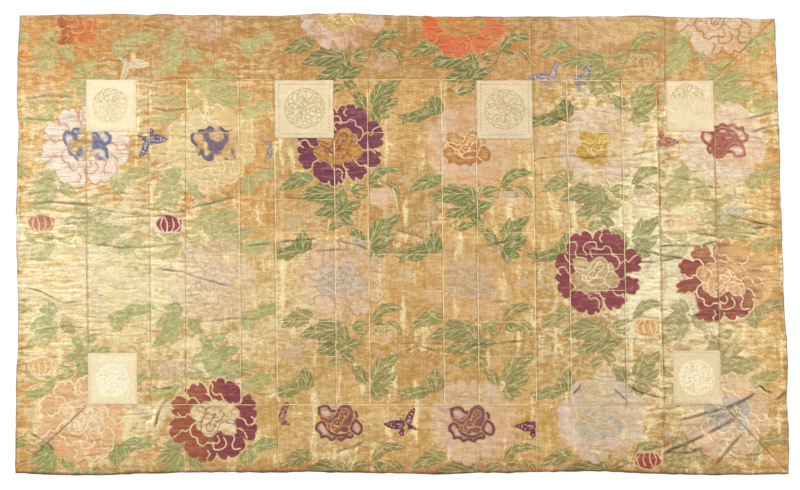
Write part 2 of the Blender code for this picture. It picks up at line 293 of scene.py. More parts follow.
# ================================================================= creases and crinkles
# Sharp creases: points in the view, depth of the fold, half width, all in mm; below 0 is a ridge
FOLDS = [
    ([(188, 210), (198, 206), (214, 203), (228, 199), (239, 196.5)], 3.0, 3.2),
    ([(160, 209), (176, 213), (188, 210)], 1.4, 3.5),
    ([(152, 268), (166, 270), (183, 272), (196, 277), (222, 284), (236, 288)], 2.0, 3.0),
    ([(20, 287), (38, 290), (54, 298), (66, 303), (84, 302)], 1.8, 3.0),
    ([(242, 247), (262, 244.5), (276, 244)], 2.4, 2.8),
    ([(276, 243), (300, 240), (320, 239)], 1.8, 3.0),
    ([(312, 252), (334, 250), (352, 250)], 1.4, 2.8),
    ([(336, 240), (356, 245), (370, 250)], 1.6, 2.6),
    ([(484, 247), (500, 243), (512, 240)], 2.2, 2.8),
    ([(512, 240), (528, 241)], 1.6, 2.6),
    ([(20, 207), (50, 202), (86, 205), (112, 212), (146, 215)], 1.6, 3.6),
    ([(20, 196), (44, 192), (70, 190)], 1.2, 3.4),
    ([(120, 217), (160, 216), (186, 217)], 1.6, 4.0),
    ([(86, 243), (122, 248), (150, 247), (188, 243)], 1.6, 2.8),
    ([(86, 238), (130, 244), (176, 243)], -1.2, 3.5),
    ([(640, 250), (664, 256), (686, 259)], 2.0, 3.0),
    ([(630, 262), (654, 262), (676, 259)], 1.4, 3.0),
    ([(650, 246), (700, 246), (720, 240)], 1.6, 3.0),
    ([(722, 214), (742, 219), (760, 224), (778, 226)], 1.6, 3.2),
    ([(750, 229), (764, 227), (779, 227)], 2.2, 2.8),
    ([(688, 232), (712, 236), (730, 240)], 1.4, 3.0),
    ([(536, 120), (548, 117), (562, 120), (576, 125)], 1.8, 3.0),
    ([(532, 160), (548, 158), (566, 156), (590, 158), (620, 156)], 1.6, 3.0),
    ([(630, 156), (646, 152), (662, 149)], 1.6, 3.4),
    ([(755, 391), (748, 397), (738, 402), (730, 405), (722, 408)], 3.6, 3.2),
    ([(722, 408), (712, 411), (700, 414), (688, 418), (676, 420)], 2.0, 3.4),
    ([(738, 416), (730, 421), (720, 427), (712, 431), (706, 434)], 4.2, 3.0),
    ([(706, 434), (696, 439), (684, 445), (672, 449), (660, 456)], 3.0, 3.6),
    ([(743, 431), (732, 443), (722, 455), (711, 468)], 2.8, 3.2),
    ([(786, 391), (780, 395), (773, 401)], 3.0, 2.8),
    ([(757, 384), (764, 390), (772, 393)], 2.0, 3.0),
    ([(572, 394), (578, 389), (580, 384)], 1.8, 2.4),
    ([(628, 386), (640, 392), (662, 398)], 2.0, 2.6),
    ([(612, 388), (622, 396), (626, 401)], 1.6, 2.4),
    ([(666, 452), (690, 452), (704, 446)], 1.6, 4.0),
    ([(168, 398), (162, 406), (158, 418), (154, 432)], 3.0, 4.0),
    ([(151, 402), (150, 420), (147, 436), (144, 446)], -2.4, 4.0),
    ([(30, 432), (44, 440), (58, 452)], 1.8, 3.0),
    ([(26, 448), (40, 456)], 1.6, 2.8),
    ([(20, 462), (28, 460)], 1.6, 2.8),
    ([(150, 386), (160, 389), (176, 387)], 1.8, 3.0),
    ([(334, 452), (352, 447), (366, 440)], 1.6, 4.0),
    ([(346, 454), (364, 448), (380, 444)], -1.6, 4.0),
    ([(404, 352), (418, 345), (440, 352)], 1.4, 3.0),
    ([(400, 343), (424, 343), (446, 344)], 1.0, 3.0),
    ([(394, 230), (410, 234), (430, 241)], 1.6, 4.5),
    ([(396, 226), (416, 231), (436, 236)], -1.4, 4.0),
    ([(284, 198), (300, 199), (330, 199)], 1.0, 2.0),
    ([(310, 343), (330, 344), (346, 346)], 1.4, 3.0),
    ([(462, 346), (500, 343), (528, 340)], 1.4, 3.0),
    ([(200, 322), (236, 318), (262, 320)], 1.0, 3.0),
    ([(40, 330), (70, 326), (88, 328)], 0.9, 3.0),
    ([(24, 100), (48, 96), (80, 98)], 1.4, 3.6),
    ([(22, 118), (50, 121), (84, 117)], 1.2, 3.4),
    ([(150, 108), (170, 112), (188, 108)], 1.4, 3.2),
    ([(24, 62), (46, 58), (70, 60)], 1.2, 3.6),
    ([(742, 120), (760, 116), (778, 112)], 2.0, 3.2),
    ([(748, 134), (764, 128), (779, 126)], 1.6, 3.4),
    ([(706, 300), (716, 312), (730, 318)], 1.2, 3.0),
]

# Upright soft ridges, where the cloth was once folded: view x, from y, to y, height mm, half width mm
UPRIGHT_RIDGES = [(386, 88, 330, 1.9, 5.0), (337, 100, 318, 1.5, 4.5), (403, 290, 360, 1.2, 4.0),
                  (518, 252, 404, 1.6, 5.0), (590, 84, 232, 1.4, 5.0), (207, 84, 210, 1.4, 4.5),
                  (428, 178, 270, 1.3, 4.0), (460, 190, 300, 1.2, 4.5), (282, 120, 330, 1.3, 5.0),
                  (555, 250, 372, 1.5, 5.0), (630, 100, 400, 1.4, 4.0), (330, 398, 450, 1.0, 4.0),
                  (488, 300, 398, 1.2, 4.5), (640, 420, 460, 1.2, 4.5), (226, 250, 330, 1.1, 5.0)]


def crinkle_amount(x, z):
    """How crinkled the cloth is: more at the left, the right and the lower border than in the middle."""
    left = smooth((-0.30 - x) / 0.35)
    right = smooth((x - 0.33) / 0.30)
    low = smooth((-0.93 - z) / 0.12)
    return 0.30 + 0.70 * np.maximum(np.maximum(left, right), 0.75 * low)


def small_folds():
    """Short, nearly level creases, close together at the sides and sparse in the middle."""
    rng = np.random.RandomState(77)
    out = []
    while len(out) < 190:
        vx, vy = rng.uniform(22, 776), rng.uniform(26, 468)
        x, z = at(vx, vy)
        if rng.rand() > float(crinkle_amount(np.array([float(x)]), np.array([float(z)]))[0]) ** 1.6:
            continue
        length = rng.uniform(14, 46)
        slope = rng.normal(0.0, 0.10)
        bow = rng.normal(0.0, 0.05) * length
        n = 5
        t = np.linspace(0, 1, n)
        points = [(vx + length * (q - 0.5), vy + slope * length * (q - 0.5) + bow * 4 * q * (1 - q) + rng.normal(0, 0.5))
                  for q in t]
        out.append((points, rng.uniform(0.7, 1.9), rng.uniform(2.4, 3.6)))
    return out


def fold_paths():
    out = []
    for points, depth, half in FOLDS + small_folds():
        px = np.array(points, float)
        x, z = at(px[:, 0], px[:, 1])
        out.append((x, z, depth / 1000.0, half / 1000.0, len(out) < len(FOLDS)))
    return out


FOLD_PATHS = fold_paths()


def folds(x, z):
    """Height of the sharp creases, the painted shade in them with a painted shadow on one side, and the painted
    highlight on their lips and on the upright ridges.
    """
    height = np.zeros(x.shape)
    shade = np.zeros(x.shape)
    lit = np.zeros(x.shape)
    wob = 0.0009 * noise(x / 0.012, z / 0.012, 61)
    for px, pz, depth, half, named in FOLD_PATHS:
        reach = 8.0 * half
        near = ((x > px.min() - reach) & (x < px.max() + reach) & (z > pz.min() - reach) & (z < pz.max() + reach))
        if not near.any():
            continue
        xs, zs = x[near] + wob[near], z[near] + wob[near]
        best = np.full(xs.shape, 9.0)
        side = np.zeros(xs.shape)
        place = np.zeros(xs.shape)
        n = len(px) - 1
        for i in range(n):
            dx, dz = px[i + 1] - px[i], pz[i + 1] - pz[i]
            t = np.clip(((xs - px[i]) * dx + (zs - pz[i]) * dz) / (dx * dx + dz * dz), 0.0, 1.0)
            d = np.hypot(xs - (px[i] + t * dx), zs - (pz[i] + t * dz))
            closer = d < best
            best = np.where(closer, d, best)
            cross = (xs - px[i]) * dz - (zs - pz[i]) * dx
            side = np.where(closer, np.sign(cross), side)
            place = np.where(closer, (i + t) / n, place)
        taper = smooth(np.minimum(place, 1.0 - place) / 0.18) * (0.75 + 0.25 * np.sin(place * 9.0 + px[0] * 40))
        valley = np.exp(-(best / half) ** 2)
        # the cloth rises on both sides of a crease, more on one side than on the other
        lip = np.exp(-((best - 2.0 * half) / (1.2 * half)) ** 2) * (0.58 + 0.30 * side)
        height[near] += taper * depth * ((-0.46 if depth > 0 else -0.66) * valley + 0.80 * lip)
        # painted highlight on the lip beside each crease
        lit[near] += taper * lip * min(1.0, depth / 0.0020) * (1.0 if depth > 0 else 0.0)
        # painted shade: a dark line in each crease, with a softer painted shadow on one side of it
        if depth > 0:
            wide = 0.0014 + 0.24 * depth if named else 0.0014
            line = np.clip(1.45 * np.exp(-(best / wide) ** 2), 0.0, 1.0)
            line = np.maximum(line, 0.40 * np.exp(-(best / (2.6 * wide)) ** 2) * (0.5 + 0.5 * side))
            deep = 0.88 + 0.72 * float(smooth((px.mean() - 0.1) / 0.45) * smooth((-0.45 - pz.mean()) / 0.3))
            shade[near] = np.maximum(shade[near], np.clip(deep * taper, 0.0, 1.0) * line
                                     * (min(1.0, 0.40 + depth / 0.0030) if named else 0.20 + depth / 0.0042))
    for vx, y0, y1, height_mm, half_mm in UPRIGHT_RIDGES:
        bx = np.array([vx, vx]), np.array([y0, y1], float)
        px, pz = at(*bx)
        h = half_mm / 1000.0
        near = (np.abs(x - px.mean()) < 7 * h) & (z < pz[0] + 0.03) & (z > pz[1] - 0.03)
        if not near.any():
            continue
        xs, zs = x[near], z[near]
        t = (zs - pz[0]) / (pz[1] - pz[0])
        cx = px[0] + (px[1] - px[0]) * t + 0.003 * noise(zs / 0.07, xs * 0 + vx, 33)
        strength = smooth(np.minimum(t, 1 - t) / 0.12) * (0.65 + 0.35 * noise(zs / 0.045, xs * 0 + vx * 0.7, 35))
        ridge = strength * np.exp(-((xs - cx) / h) ** 2)
        height[near] += ridge * height_mm / 1000.0
        # painted highlight along each upright ridge
        lit[near] += 0.9 * ridge
    return height, shade, lit


def front_height(x, z):
    """Height of the front of the cloth above the plane it hangs on, the creases' painted shade, and a tone of painted
    light that follows the relief.
    """
    d, up = seam_distance(x, z)
    mask = square_mask(x, z)
    amount = crinkle_amount(x, z)
    # puffed between the seams, with a valley along each
    puff = 0.0014 * (1.0 - np.exp(-d / 0.011)) - 0.0009 * np.exp(-(d / 0.0022) ** 2)
    # level crinkles
    warp = 0.006 * noise(x / 0.09, z / 0.05, 5)
    a = layered(x / 0.075 + 0.4 * noise(x / 0.2, z / 0.2, 8), (z + warp) / 0.0155, 11, 3)
    ridge = 1.0 - np.abs(a) * 2.4
    b = layered(x / 0.034, (z + warp) / 0.0085, 21, 2)
    patchy = smooth(0.5 + 0.9 * noise(x / 0.16, z / 0.10, 27))
    level = amount * (0.0015 * np.clip(ridge, -0.6, 1.0) * (0.30 + 0.70 * patchy) + 0.00055 * b)
    # softer dimples of every direction
    dimple = 0.0009 * layered(x / 0.042, z / 0.036, 41, 3)
    # puckers held in by the upright seams
    side_hem = np.clip(np.minimum(x - along(LEFT_EDGE, z), along(RIGHT_EDGE, z) - x), 0.0, None)
    hold = np.maximum(np.exp(-up / 0.0090), 0.9 * np.exp(-side_hem / 0.0150))
    pucker = 0.0016 * hold * noise(x / 0.05, z / 0.0062, 51) * (0.30 + 0.70 * amount)
    fold, shade, lit = folds(x, z)
    base = relief(x, z)
    height = base + np.maximum(CLOTH + mask * (puff + level + dimple + pucker + fold), 0.0007)
    # tone: painted light that follows the relief, lighter on the crinkles' ridges, the puckers and the creases' lips,
    # less light in their hollows
    tone = (0.75 * np.clip(ridge, -1.0, 1.0) * (0.25 + 0.75 * patchy) + 0.45 * b) * amount + pucker / 0.0012 + 1.5 * lit
    return height, shade * mask, tone


def seam_shade(x, z):
    """Painted shade: a dark line along one side of each seam, beside its cord."""
    out = np.zeros(x.shape)
    for k, (x0, z0, x1, z1, kind, i) in enumerate(LINES):
        dx, dz = x1 - x0, z1 - z0
        length = math.hypot(dx, dz)
        t = ((x - x0) * dx + (z - z0) * dz) / (length * length)
        near = (t > -0.01) & (t < 1.01)
        if kind == "upright":
            offset, width, strength = 0.0024 * (1 if (i * 7) % 3 else -1), 0.0017, 0.62
        elif kind in ("top", "bottom"):
            offset, width, strength = 0.0022, 0.0017, 0.50
        elif kind == "mitre":
            offset, width, strength = 0.0008, 0.0015, 0.50
            if z0 < -0.5 and x0 < 0:
                offset, width, strength = 0.0, 0.0021, 1.0
        else:
            offset, width, strength = 0.0022, 0.0016, 0.40
        d = ((x - x0) * dz - (z - z0) * dx) / length - offset
        near &= np.abs(d) < 0.012
        aside = min(1.0, max(-0.3, (0.5 * (x0 + x1) - 0.45) / 0.25))
        width, strength = width * (1.0 + 0.35 * aside), min(0.95, strength * (1.0 + 0.40 * aside))
        vary = 0.62 + 0.38 * noise(t[near] * length / 0.035, np.zeros(near.sum()) + 5.3 * k, 131)
        out[near] = np.maximum(out[near], strength * vary * np.exp(-(d[near] / width) ** 2))
    return out


# ================================================================= motifs
def rgb(code):
    code = code.lstrip("#")
    out = []
    for i in (0, 2, 4):
        c = int(code[i:i + 2], 16) / 255.0
        out.append(c / 12.92 if c <= 0.04045 else ((c + 0.055) / 1.055) ** 2.4)
    return np.array(out)


def to_segments(gx, gz, points, closed=False, best=None):
    """Distance from every point of a grid to a line through points."""
    pts = np.asarray(points, float)
    if closed:
        pts = np.vstack([pts, pts[:1]])
    best = np.full(gx.shape, 9.0) if best is None else best
    for (ax, az), (bx, bz) in zip(pts, pts[1:]):
        dx, dz = bx - ax, bz - az
        ll = dx * dx + dz * dz
        if ll < 1e-14:
            continue
        t = np.clip(((gx - ax) * dx + (gz - az) * dz) / ll, 0.0, 1.0)
        np.minimum(best, np.hypot(gx - (ax + t * dx), gz - (az + t * dz)), out=best)
    return best


def within(gx, gz, points):
    pts = np.asarray(points, float)
    inside = np.zeros(gx.shape, bool)
    n = len(pts)
    for i in range(n):
        (ax, az), (bx, bz) = pts[i], pts[(i + 1) % n]
        if az == bz:
            continue
        crosses = (az > gz) != (bz > gz)
        inside ^= crosses & (gx < (bx - ax) * (gz - az) / (bz - az) + ax)
    return inside


def curve(points, steps=8):
    """A smooth line through points."""
    p = np.asarray(points, float)
    p = np.vstack([2 * p[0] - p[1], p, 2 * p[-1] - p[-2]])
    out = []
    for i in range(1, len(p) - 2):
        for s in range(steps):
            t = s / steps
            out.append(0.5 * ((2 * p[i]) + (-p[i - 1] + p[i + 1]) * t
                              + (2 * p[i - 1] - 5 * p[i] + 4 * p[i + 1] - p[i + 2]) * t * t
                              + (-p[i - 1] + 3 * p[i] - 3 * p[i + 1] + p[i + 2]) * t ** 3))
    out.append(p[-2])
    return np.array(out)


class Chart:
    """A small charted motif: layers of numbers on a square grid, read at any place."""

    def __init__(self, x0, x1, z0, z1, step):
        self.x0, self.z0, self.step = x0, z0, step
        nx, nz = int((x1 - x0) / step) + 1, int((z1 - z0) / step) + 1
        self.x1, self.z1 = x0 + (nx - 1) * step, z0 + (nz - 1) * step
        self.gx, self.gz = np.meshgrid(x0 + np.arange(nx) * step, z0 + np.arange(nz) * step, indexing="ij")
        self.layers = {}

    def holds(self, x, z):
        return (x > self.x0) & (x < self.x1) & (z > self.z0) & (z < self.z1)

    def read(self, name, x, z):
        u, v = (x - self.x0) / self.step, (z - self.z0) / self.step
        i, j = np.clip(u.astype(int), 0, self.gx.shape[0] - 2), np.clip(v.astype(int), 0, self.gx.shape[1] - 2)
        fu, fv = np.clip(u - i, 0, 1), np.clip(v - j, 0, 1)
        g = self.layers[name]
        return ((g[i, j] * (1 - fu) + g[i + 1, j] * fu) * (1 - fv)
                + (g[i, j + 1] * (1 - fu) + g[i + 1, j + 1] * fu) * fv)


# ---- the peony: rings of scalloped petals, in metres about its middle
FLOWER_R = 0.1135
# Outer petals: (middle in degrees, half width in degrees, reach, lobes, depth of the notch after it)
PETALS = [(68, 25, 0.985, 4, 0.17), (14, 18, 1.03, 3, 0.30), (-22, 17, 1.01, 3, 0.22), (-56, 18, 0.97, 3, 0.33),
          (-107, 28, 0.99, 4, 0.12), (-159, 21, 1.02, 3, 0.08), (-196, 15, 1.01, 2, 0.17), (-237, 25, 0.99, 3, 0.20)]
# Petals of the heart, back to front, in view steps from the middle, down positive; the dark ones are dark all over
HEART_LOBES = [
    ("fading", [(-23, -13), (-17, -15), (-11, -14), (-8, -10), (-2, -11), (0, -6), (-8, -1), (-17, 0), (-22, -4)]),
    ("fading", [(10, -9), (14, -10), (17, -6), (16, -1), (11, 1), (8, -4)]),
    ("dark", [(-22, -4), (-16, -3), (-11, -1), (-6, -5), (-3, -12), (3, -16), (9, -14), (12, -8), (11, 0), (8, 6),
              (2, 7), (-5, 5), (-10, 6), (-18, 3)]),
    ("fading", [(-25, 3), (-19, 0), (-14, 4), (-10, 10), (-3, 13), (4, 12), (9, 9), (13, 13), (11, 18), (5, 18), (1, 21),
                (-5, 19), (-10, 21), (-15, 17), (-20, 18), (-22, 13), (-26, 9)]),
    ("dark", [(-13, 3), (-8, 5), (-2, 6), (4, 5), (9, 8), (5, 12), (-1, 11), (-5, 13), (-10, 9), (-14, 7)]),
    ("fading", [(10, 2), (13, -2), (18, 0), (22, 5), (22, 11), (18, 15), (12, 13), (8, 8)]),
]
# The stamens: a slender bunch across the middle, outlined, with beads in it
STAMENS = [(-11, 6), (-7, 0), (-3, -2), (-1, -7), (3, -11), (7, -9), (6, -4), (2, -1), (0, 4), (-4, 6), (-7, 9)]
BEADS = [(-7, 4), (-4, 2), (-2, -1), (0, -4), (2, -7), (4, -8), (-1, 2), (3, -4)]
# Scalloped arch over the heart, and the curled lines that part the petals
ARCHES = [
    [(-27, -28), (-21, -29), (-19, -24), (-21, -18), (-18, -14)],
    [(-10, -17), (-13, -22), (-11, -27), (-5, -29), (0, -28), (1, -23), (6, -22), (10, -25), (15, -23), (16, -18),
     (21, -16), (23, -10), (21, -5), (17, -2), (17, 3), (21, 5)],
    [(-4, -15), (-6, -20), (-3, -23), (1, -21)],
    [(23, -9), (28, -12), (31, -10), (34, -14), (39, -17)],
    [(21, 5), (26, 6), (28, 3), (32, 4), (35, 7)],
    [(15, 16), (20, 22), (25, 22), (28, 26)],
    [(-9, 20), (-6, 26), (-1, 25), (3, 29), (2, 34), (5, 38)],
    [(3, 19), (5, 24), (9, 26)],
    [(-22, 16), (-27, 19), (-28, 24), (-33, 27)],
    [(-25, 3), (-30, 1), (-33, -4), (-38, -4), (-41, 0), (-37, 3)],
    [(-25, -8), (-30, -11), (-33, -17)],
    [(6, -29), (4, -33), (7, -37)],
]


def petal_outline():
    rows = sorted(PETALS, key=lambda p: p[0])
    out = []
    n = len(rows)
    for i, (mid, half, reach, lobes, notch) in enumerate(rows):
        before = rows[i - 1]
        after = rows[(i + 1) % n]
        start = 0.5 * ((before[0] - (360 if i == 0 else 0) + before[1]) + (mid - half))
        stop = 0.5 * ((mid + half) + (after[0] + (360 if i == n - 1 else 0) - after[1]))
        # the notch named with a petal lies after it, going clockwise, so it starts this one
        cut0, cut1 = notch, after[4]
        for k in range(44):
            t = k / 44
            ease = (1 - t) * cut0 * math.exp(-(t / 0.10) ** 1.3) + t * cut1 * math.exp(-((1 - t) / 0.10) ** 1.3)
            body = 1.0 - ease * 1.0 - 0.05 * (2 * t - 1) ** 2
            u = lobes * t
            lobe = 1.0 - abs(math.sin(math.pi * u)) ** 0.75
            inner = 0.0 if (t < 0.5 / lobes / 2 or t > 1 - 0.5 / lobes / 2) else 1.0
            body -= 0.100 * lobe * inner * (0.8 + 0.4 * math.sin(3.1 * i + 2.0 * round(u)))
            r = FLOWER_R * reach * body
            angle = math.radians(start + (stop - start) * (t - 0.022 * math.sin(2 * math.pi * u)))
            out.append((r * math.cos(angle), r * math.sin(angle)))
    return np.array(out)


def in_view(points):
    return [(x * PX, -y * PX) for x, y in points]


def flower_chart():
    c = Chart(-0.125, 0.125, -0.125, 0.125, 0.00105)
    gx, gz = c.gx, c.gz
    outer = petal_outline()
    d_outer = to_segments(gx, gz, outer, True)
    in_outer = within(gx, gz, outer)
    # the heart: each petal lies over the ones before it
    union = np.full(gx.shape, 9.0)
    parting = np.full(gx.shape, 9.0)
    dark = np.zeros(gx.shape, bool)
    for kind, points in HEART_LOBES:
        shape = curve(in_view(points + points[:1]), 6)
        d = to_segments(gx, gz, shape, True)
        inside = within(gx, gz, shape)
        parting = np.where(inside, d, np.minimum(parting, d))
        dark = np.where(inside, kind == "dark", dark)
        union = np.minimum(union, np.where(inside, -d, d))
    in_heart = union < 0
    stamens = curve(in_view(STAMENS + STAMENS[:1]), 6)
    d_stamens = to_segments(gx, gz, stamens, True)
    d_curl = np.where(within(gx, gz, stamens), d_stamens, np.minimum(parting, d_stamens))
    for x, z in in_view(BEADS):
        d_curl = np.minimum(d_curl, np.maximum(0.0, np.hypot(gx - x, gz - z) - 0.0008))
    d_parts = np.full(gx.shape, 9.0)
    for p in ARCHES:
        # each line waves a little, like the edge of a petal
        q = curve(in_view(p), 7)
        d_parts = to_segments(gx, gz, q, best=d_parts)
    # the outer edge is lined on its lower right side, and in patches elsewhere
    turn = np.arctan2(gz, gx)
    lined = 0.0016 * smooth(0.5 + 0.9 * np.sin(2.0 * turn + 0.6) + 0.5 * np.sin(5.0 * turn + 1.0))
    c.layers["fill"] = np.where(in_outer, -d_outer, d_outer)
    c.layers["middle"] = d_parts
    c.layers["heart"] = union
    c.layers["line"] = np.minimum(np.minimum(d_outer + lined, np.where(in_heart, 9.0, d_parts)), np.abs(union) + 0.0007)
    c.layers["curl"] = np.where(in_heart, d_curl + 0.0003, 9.0)
    # pale towards the middle of the fading petals
    pale = smooth((-union - 0.0050) / 0.0075)
    c.layers["pale"] = np.where(dark, 0.12, pale)
    return c


# ---- the leaf spray below and to the right of each peony, in view steps from its middle.
# Leaves: (root x, root y, tip x, tip y, width, bend, tone)
SPRAY = [
    (-27, 33, -61, 46, 15, 0.10, 0.15), (-29, 38, -44, 28, 10, -0.15, 0.30),
    (6, 49, -42, 55, 21, 0.12, -0.10), (2, 58, -26, 71, 15, -0.10, -0.20),
    (4, 76, 1, 40, 12, 0.10, 0.00), (-3, 71, 23, 60, 14, -0.14, -0.05), (2, 72, 15, 81, 10, 0.10, -0.10),
    (11, 48, 29, 43, 8, -0.25, 0.10), (14, 50, 28, 51, 5, 0.20, 0.05),
    (30, 40, 66, 28, 11, -0.42, 0.05), (32, 37, 45, 25, 8, -0.10, 0.15),
    (33, 42, 53, 47, 9, 0.15, 0.00), (34, 42, 40, 51, 8, 0.10, -0.15),
    (47, 39, 60, 56, 6, -0.45, -0.10),
    (-12, 85, 4, 80, 9, -0.20, 0.20),
    (24, 103, 12, 84, 13, 0.12, -0.10),
    (32, 99, 61, 71, 15, -0.12, 0.05), (31, 98, 40, 73, 12, 0.10, 0.20),
    (32, 103, 57, 90, 13, 0.14, -0.05), (32, 104, 49, 111, 11, 0.12, -0.15),
    (31, 105, 38, 119, 10, -0.12, -0.10),
    (92, 105, 55, 110, 13, -0.16, 0.10), (88, 108, 60, 118, 9, 0.20, -0.05),
    (95, 109, 94, 87, 19, 0.05, 0.00), (88, 108, 84, 96, 8, 0.20, 0.10),
]
# Stems: lists of points, in the same steps
STEMS = [
    [(30, 40), (26, 52), (18, 58), (6, 60)], [(47, 40), (40, 38), (31, 40)],
    [(33, 104), (28, 112), (24, 103)], [(94, 108), (80, 112), (60, 109), (44, 104), (33, 103)],
    [(4, 76), (12, 90), (26, 100), (32, 103)], [(-12, 85), (-20, 80), (-10, 74), (0, 72)],
    [(6, 50), (10, 42), (6, 34)],
]


def leaf_outline(root, tip, width, bend, lobes=2, n=26):
    """Pointed leaf with one or two soft lobes on each side, bent sideways by a share of its length."""
    root, tip = np.array(root, float), np.array(tip, float)
    axis = tip - root
    length = np.hypot(*axis)
    axis /= length
    normal = np.array([-axis[1], axis[0]])
    spine = lambda t: root + axis * length * t + normal * bend * length * 4 * t * (1 - t) * 0.5
    left, right = [], []
    for k in range(n + 1):
        t = k / n
        w = 0.5 * width * (math.sin(math.pi * t ** 0.72) ** 0.80 if 0 < t < 1 else 0.0)
        if lobes and 0.08 < t < 0.96:
            saw_l, saw_r = (t * lobes + 0.10) % 1.0, (t * lobes + 0.38) % 1.0
            left.append(spine(t) + normal * w * (0.88 + 0.22 * saw_l ** 1.5))
            right.append(spine(t) - normal * w * (0.88 + 0.22 * saw_r ** 1.5))
        else:
            left.append(spine(t) + normal * w * 0.9)
            right.append(spine(t) - normal * w * 0.9)
    return np.array(left + right[::-1][1:-1]), spine, normal, length


def beside(gx, gz, points):
    """How far along a line through points each place lies, and how far to its side."""
    best, along_, aside = np.full(gx.shape, 9.0), np.zeros(gx.shape), np.zeros(gx.shape)
    run = 0.0
    for (ax, az), (bx, bz) in zip(points, points[1:]):
        dx, dz = bx - ax, bz - az
        length = math.hypot(dx, dz)
        t = np.clip(((gx - ax) * dx + (gz - az) * dz) / length ** 2, 0.0, 1.0)
        d = np.hypot(gx - (ax + t * dx), gz - (az + t * dz))
        closer = d < best
        best = np.where(closer, d, best)
        along_ = np.where(closer, run + t * length, along_)
        aside = np.where(closer, ((gx - ax) * dz - (gz - az) * dx) / length, aside)
        run += length
    return along_, aside


def spray_chart():
    step = 0.00125
    s = PX
    c = Chart(-68 * s, 104 * s, -124 * s, -18 * s, step)
    gx, gz = c.gx, c.gz
    fill = np.full(gx.shape, 9.0)
    own = np.full(gx.shape, 9.0)
    up, aside = np.zeros(gx.shape), np.full(gx.shape, 0.02)
    tone = np.zeros(gx.shape)
    for rx, ry, tx, ty, width, bend, shade in SPRAY:
        root, tip = (rx * s, -ry * s), (tx * s, -ty * s)
        outline, spine, normal, length = leaf_outline(root, tip, width * s, -bend, 3 if width > 13 else (2 if width > 8 else 0))
        lo, hi = outline.min(0) - 0.014, outline.max(0) + 0.014
        near = (gx > lo[0]) & (gx < hi[0]) & (gz > lo[1]) & (gz < hi[1])
        x, z = gx[near], gz[near]
        d = to_segments(x, z, outline, True)
        inside = within(x, z, outline)
        d = np.where(inside, -d, d)
        # a new leaf lies over the ones before it, with a thin gap round it
        old = fill[near]
        closer = d < old
        mine = closer | inside
        u, v = beside(x, z, [spine(t) for t in np.linspace(0.0, 1.0, 11)])
        for layer, value in ((tone, shade), (up, u), (aside, v), (own, d)):
            layer[near] = np.where(mine, value, layer[near])
        fill[near] = np.minimum(old, d)
    stem = np.full(gx.shape, 9.0)
    for points in STEMS:
        stem = to_segments(gx, gz, curve([(x * s, -y * s) for x, y in points], 6), best=stem)
    c.layers["fill"] = np.minimum(fill, stem - 0.0013)
    c.layers["own"] = own
    c.layers["up"] = up
    c.layers["aside"] = aside
    c.layers["tone"] = tone
    return c


# ---- the bud under the arched leaf
def bud_chart():
    s = PX
    c = Chart(24 * s, 59 * s, -66 * s, -39 * s, 0.0010)
    gx, gz = c.gx, c.gz
    mid = np.array([41.5 * s, -52.5 * s])
    a, b = 13.6 * s, 9.2 * s
    outline = []
    for k in range(72):
        t = 2 * math.pi * k / 72
        p = 2.3
        ct, st = math.cos(t), math.sin(t)
        r = (abs(ct) ** p + abs(st) ** p) ** (-1 / p)
        # lobed on its free side, drawn in at the stalk
        r *= 1 + 0.05 * math.cos(5 * t + 0.8) - 0.10 * max(0.0, st) ** 6
        outline.append((mid[0] + a * r * ct, mid[1] + b * r * st))
    outline = np.array(outline)
    d = to_segments(gx, gz, outline, True)
    inside = within(gx, gz, outline)
    line = np.full(gx.shape, 9.0)
    # overlapping petals: curved partings that lean different ways
    for top, middle, foot, drop in ((-0.30, -0.78, -0.62, 0.80), (-0.10, -0.34, -0.20, 0.62), (0.22, 0.16, 0.40, 0.88),
                                    (0.40, 0.66, 0.52, 0.66)):
        pts = [(mid[0] + a * top, mid[1] + b * 0.92), (mid[0] + a * middle, mid[1] + b * 0.15),
               (mid[0] + a * foot, mid[1] - b * drop)]
        line = to_segments(gx, gz, curve(pts, 6), best=line)
    c.layers["fill"] = np.where(inside, -d, d)
    c.layers["line"] = np.minimum(np.where(inside, line, 9.0), d)
    return c


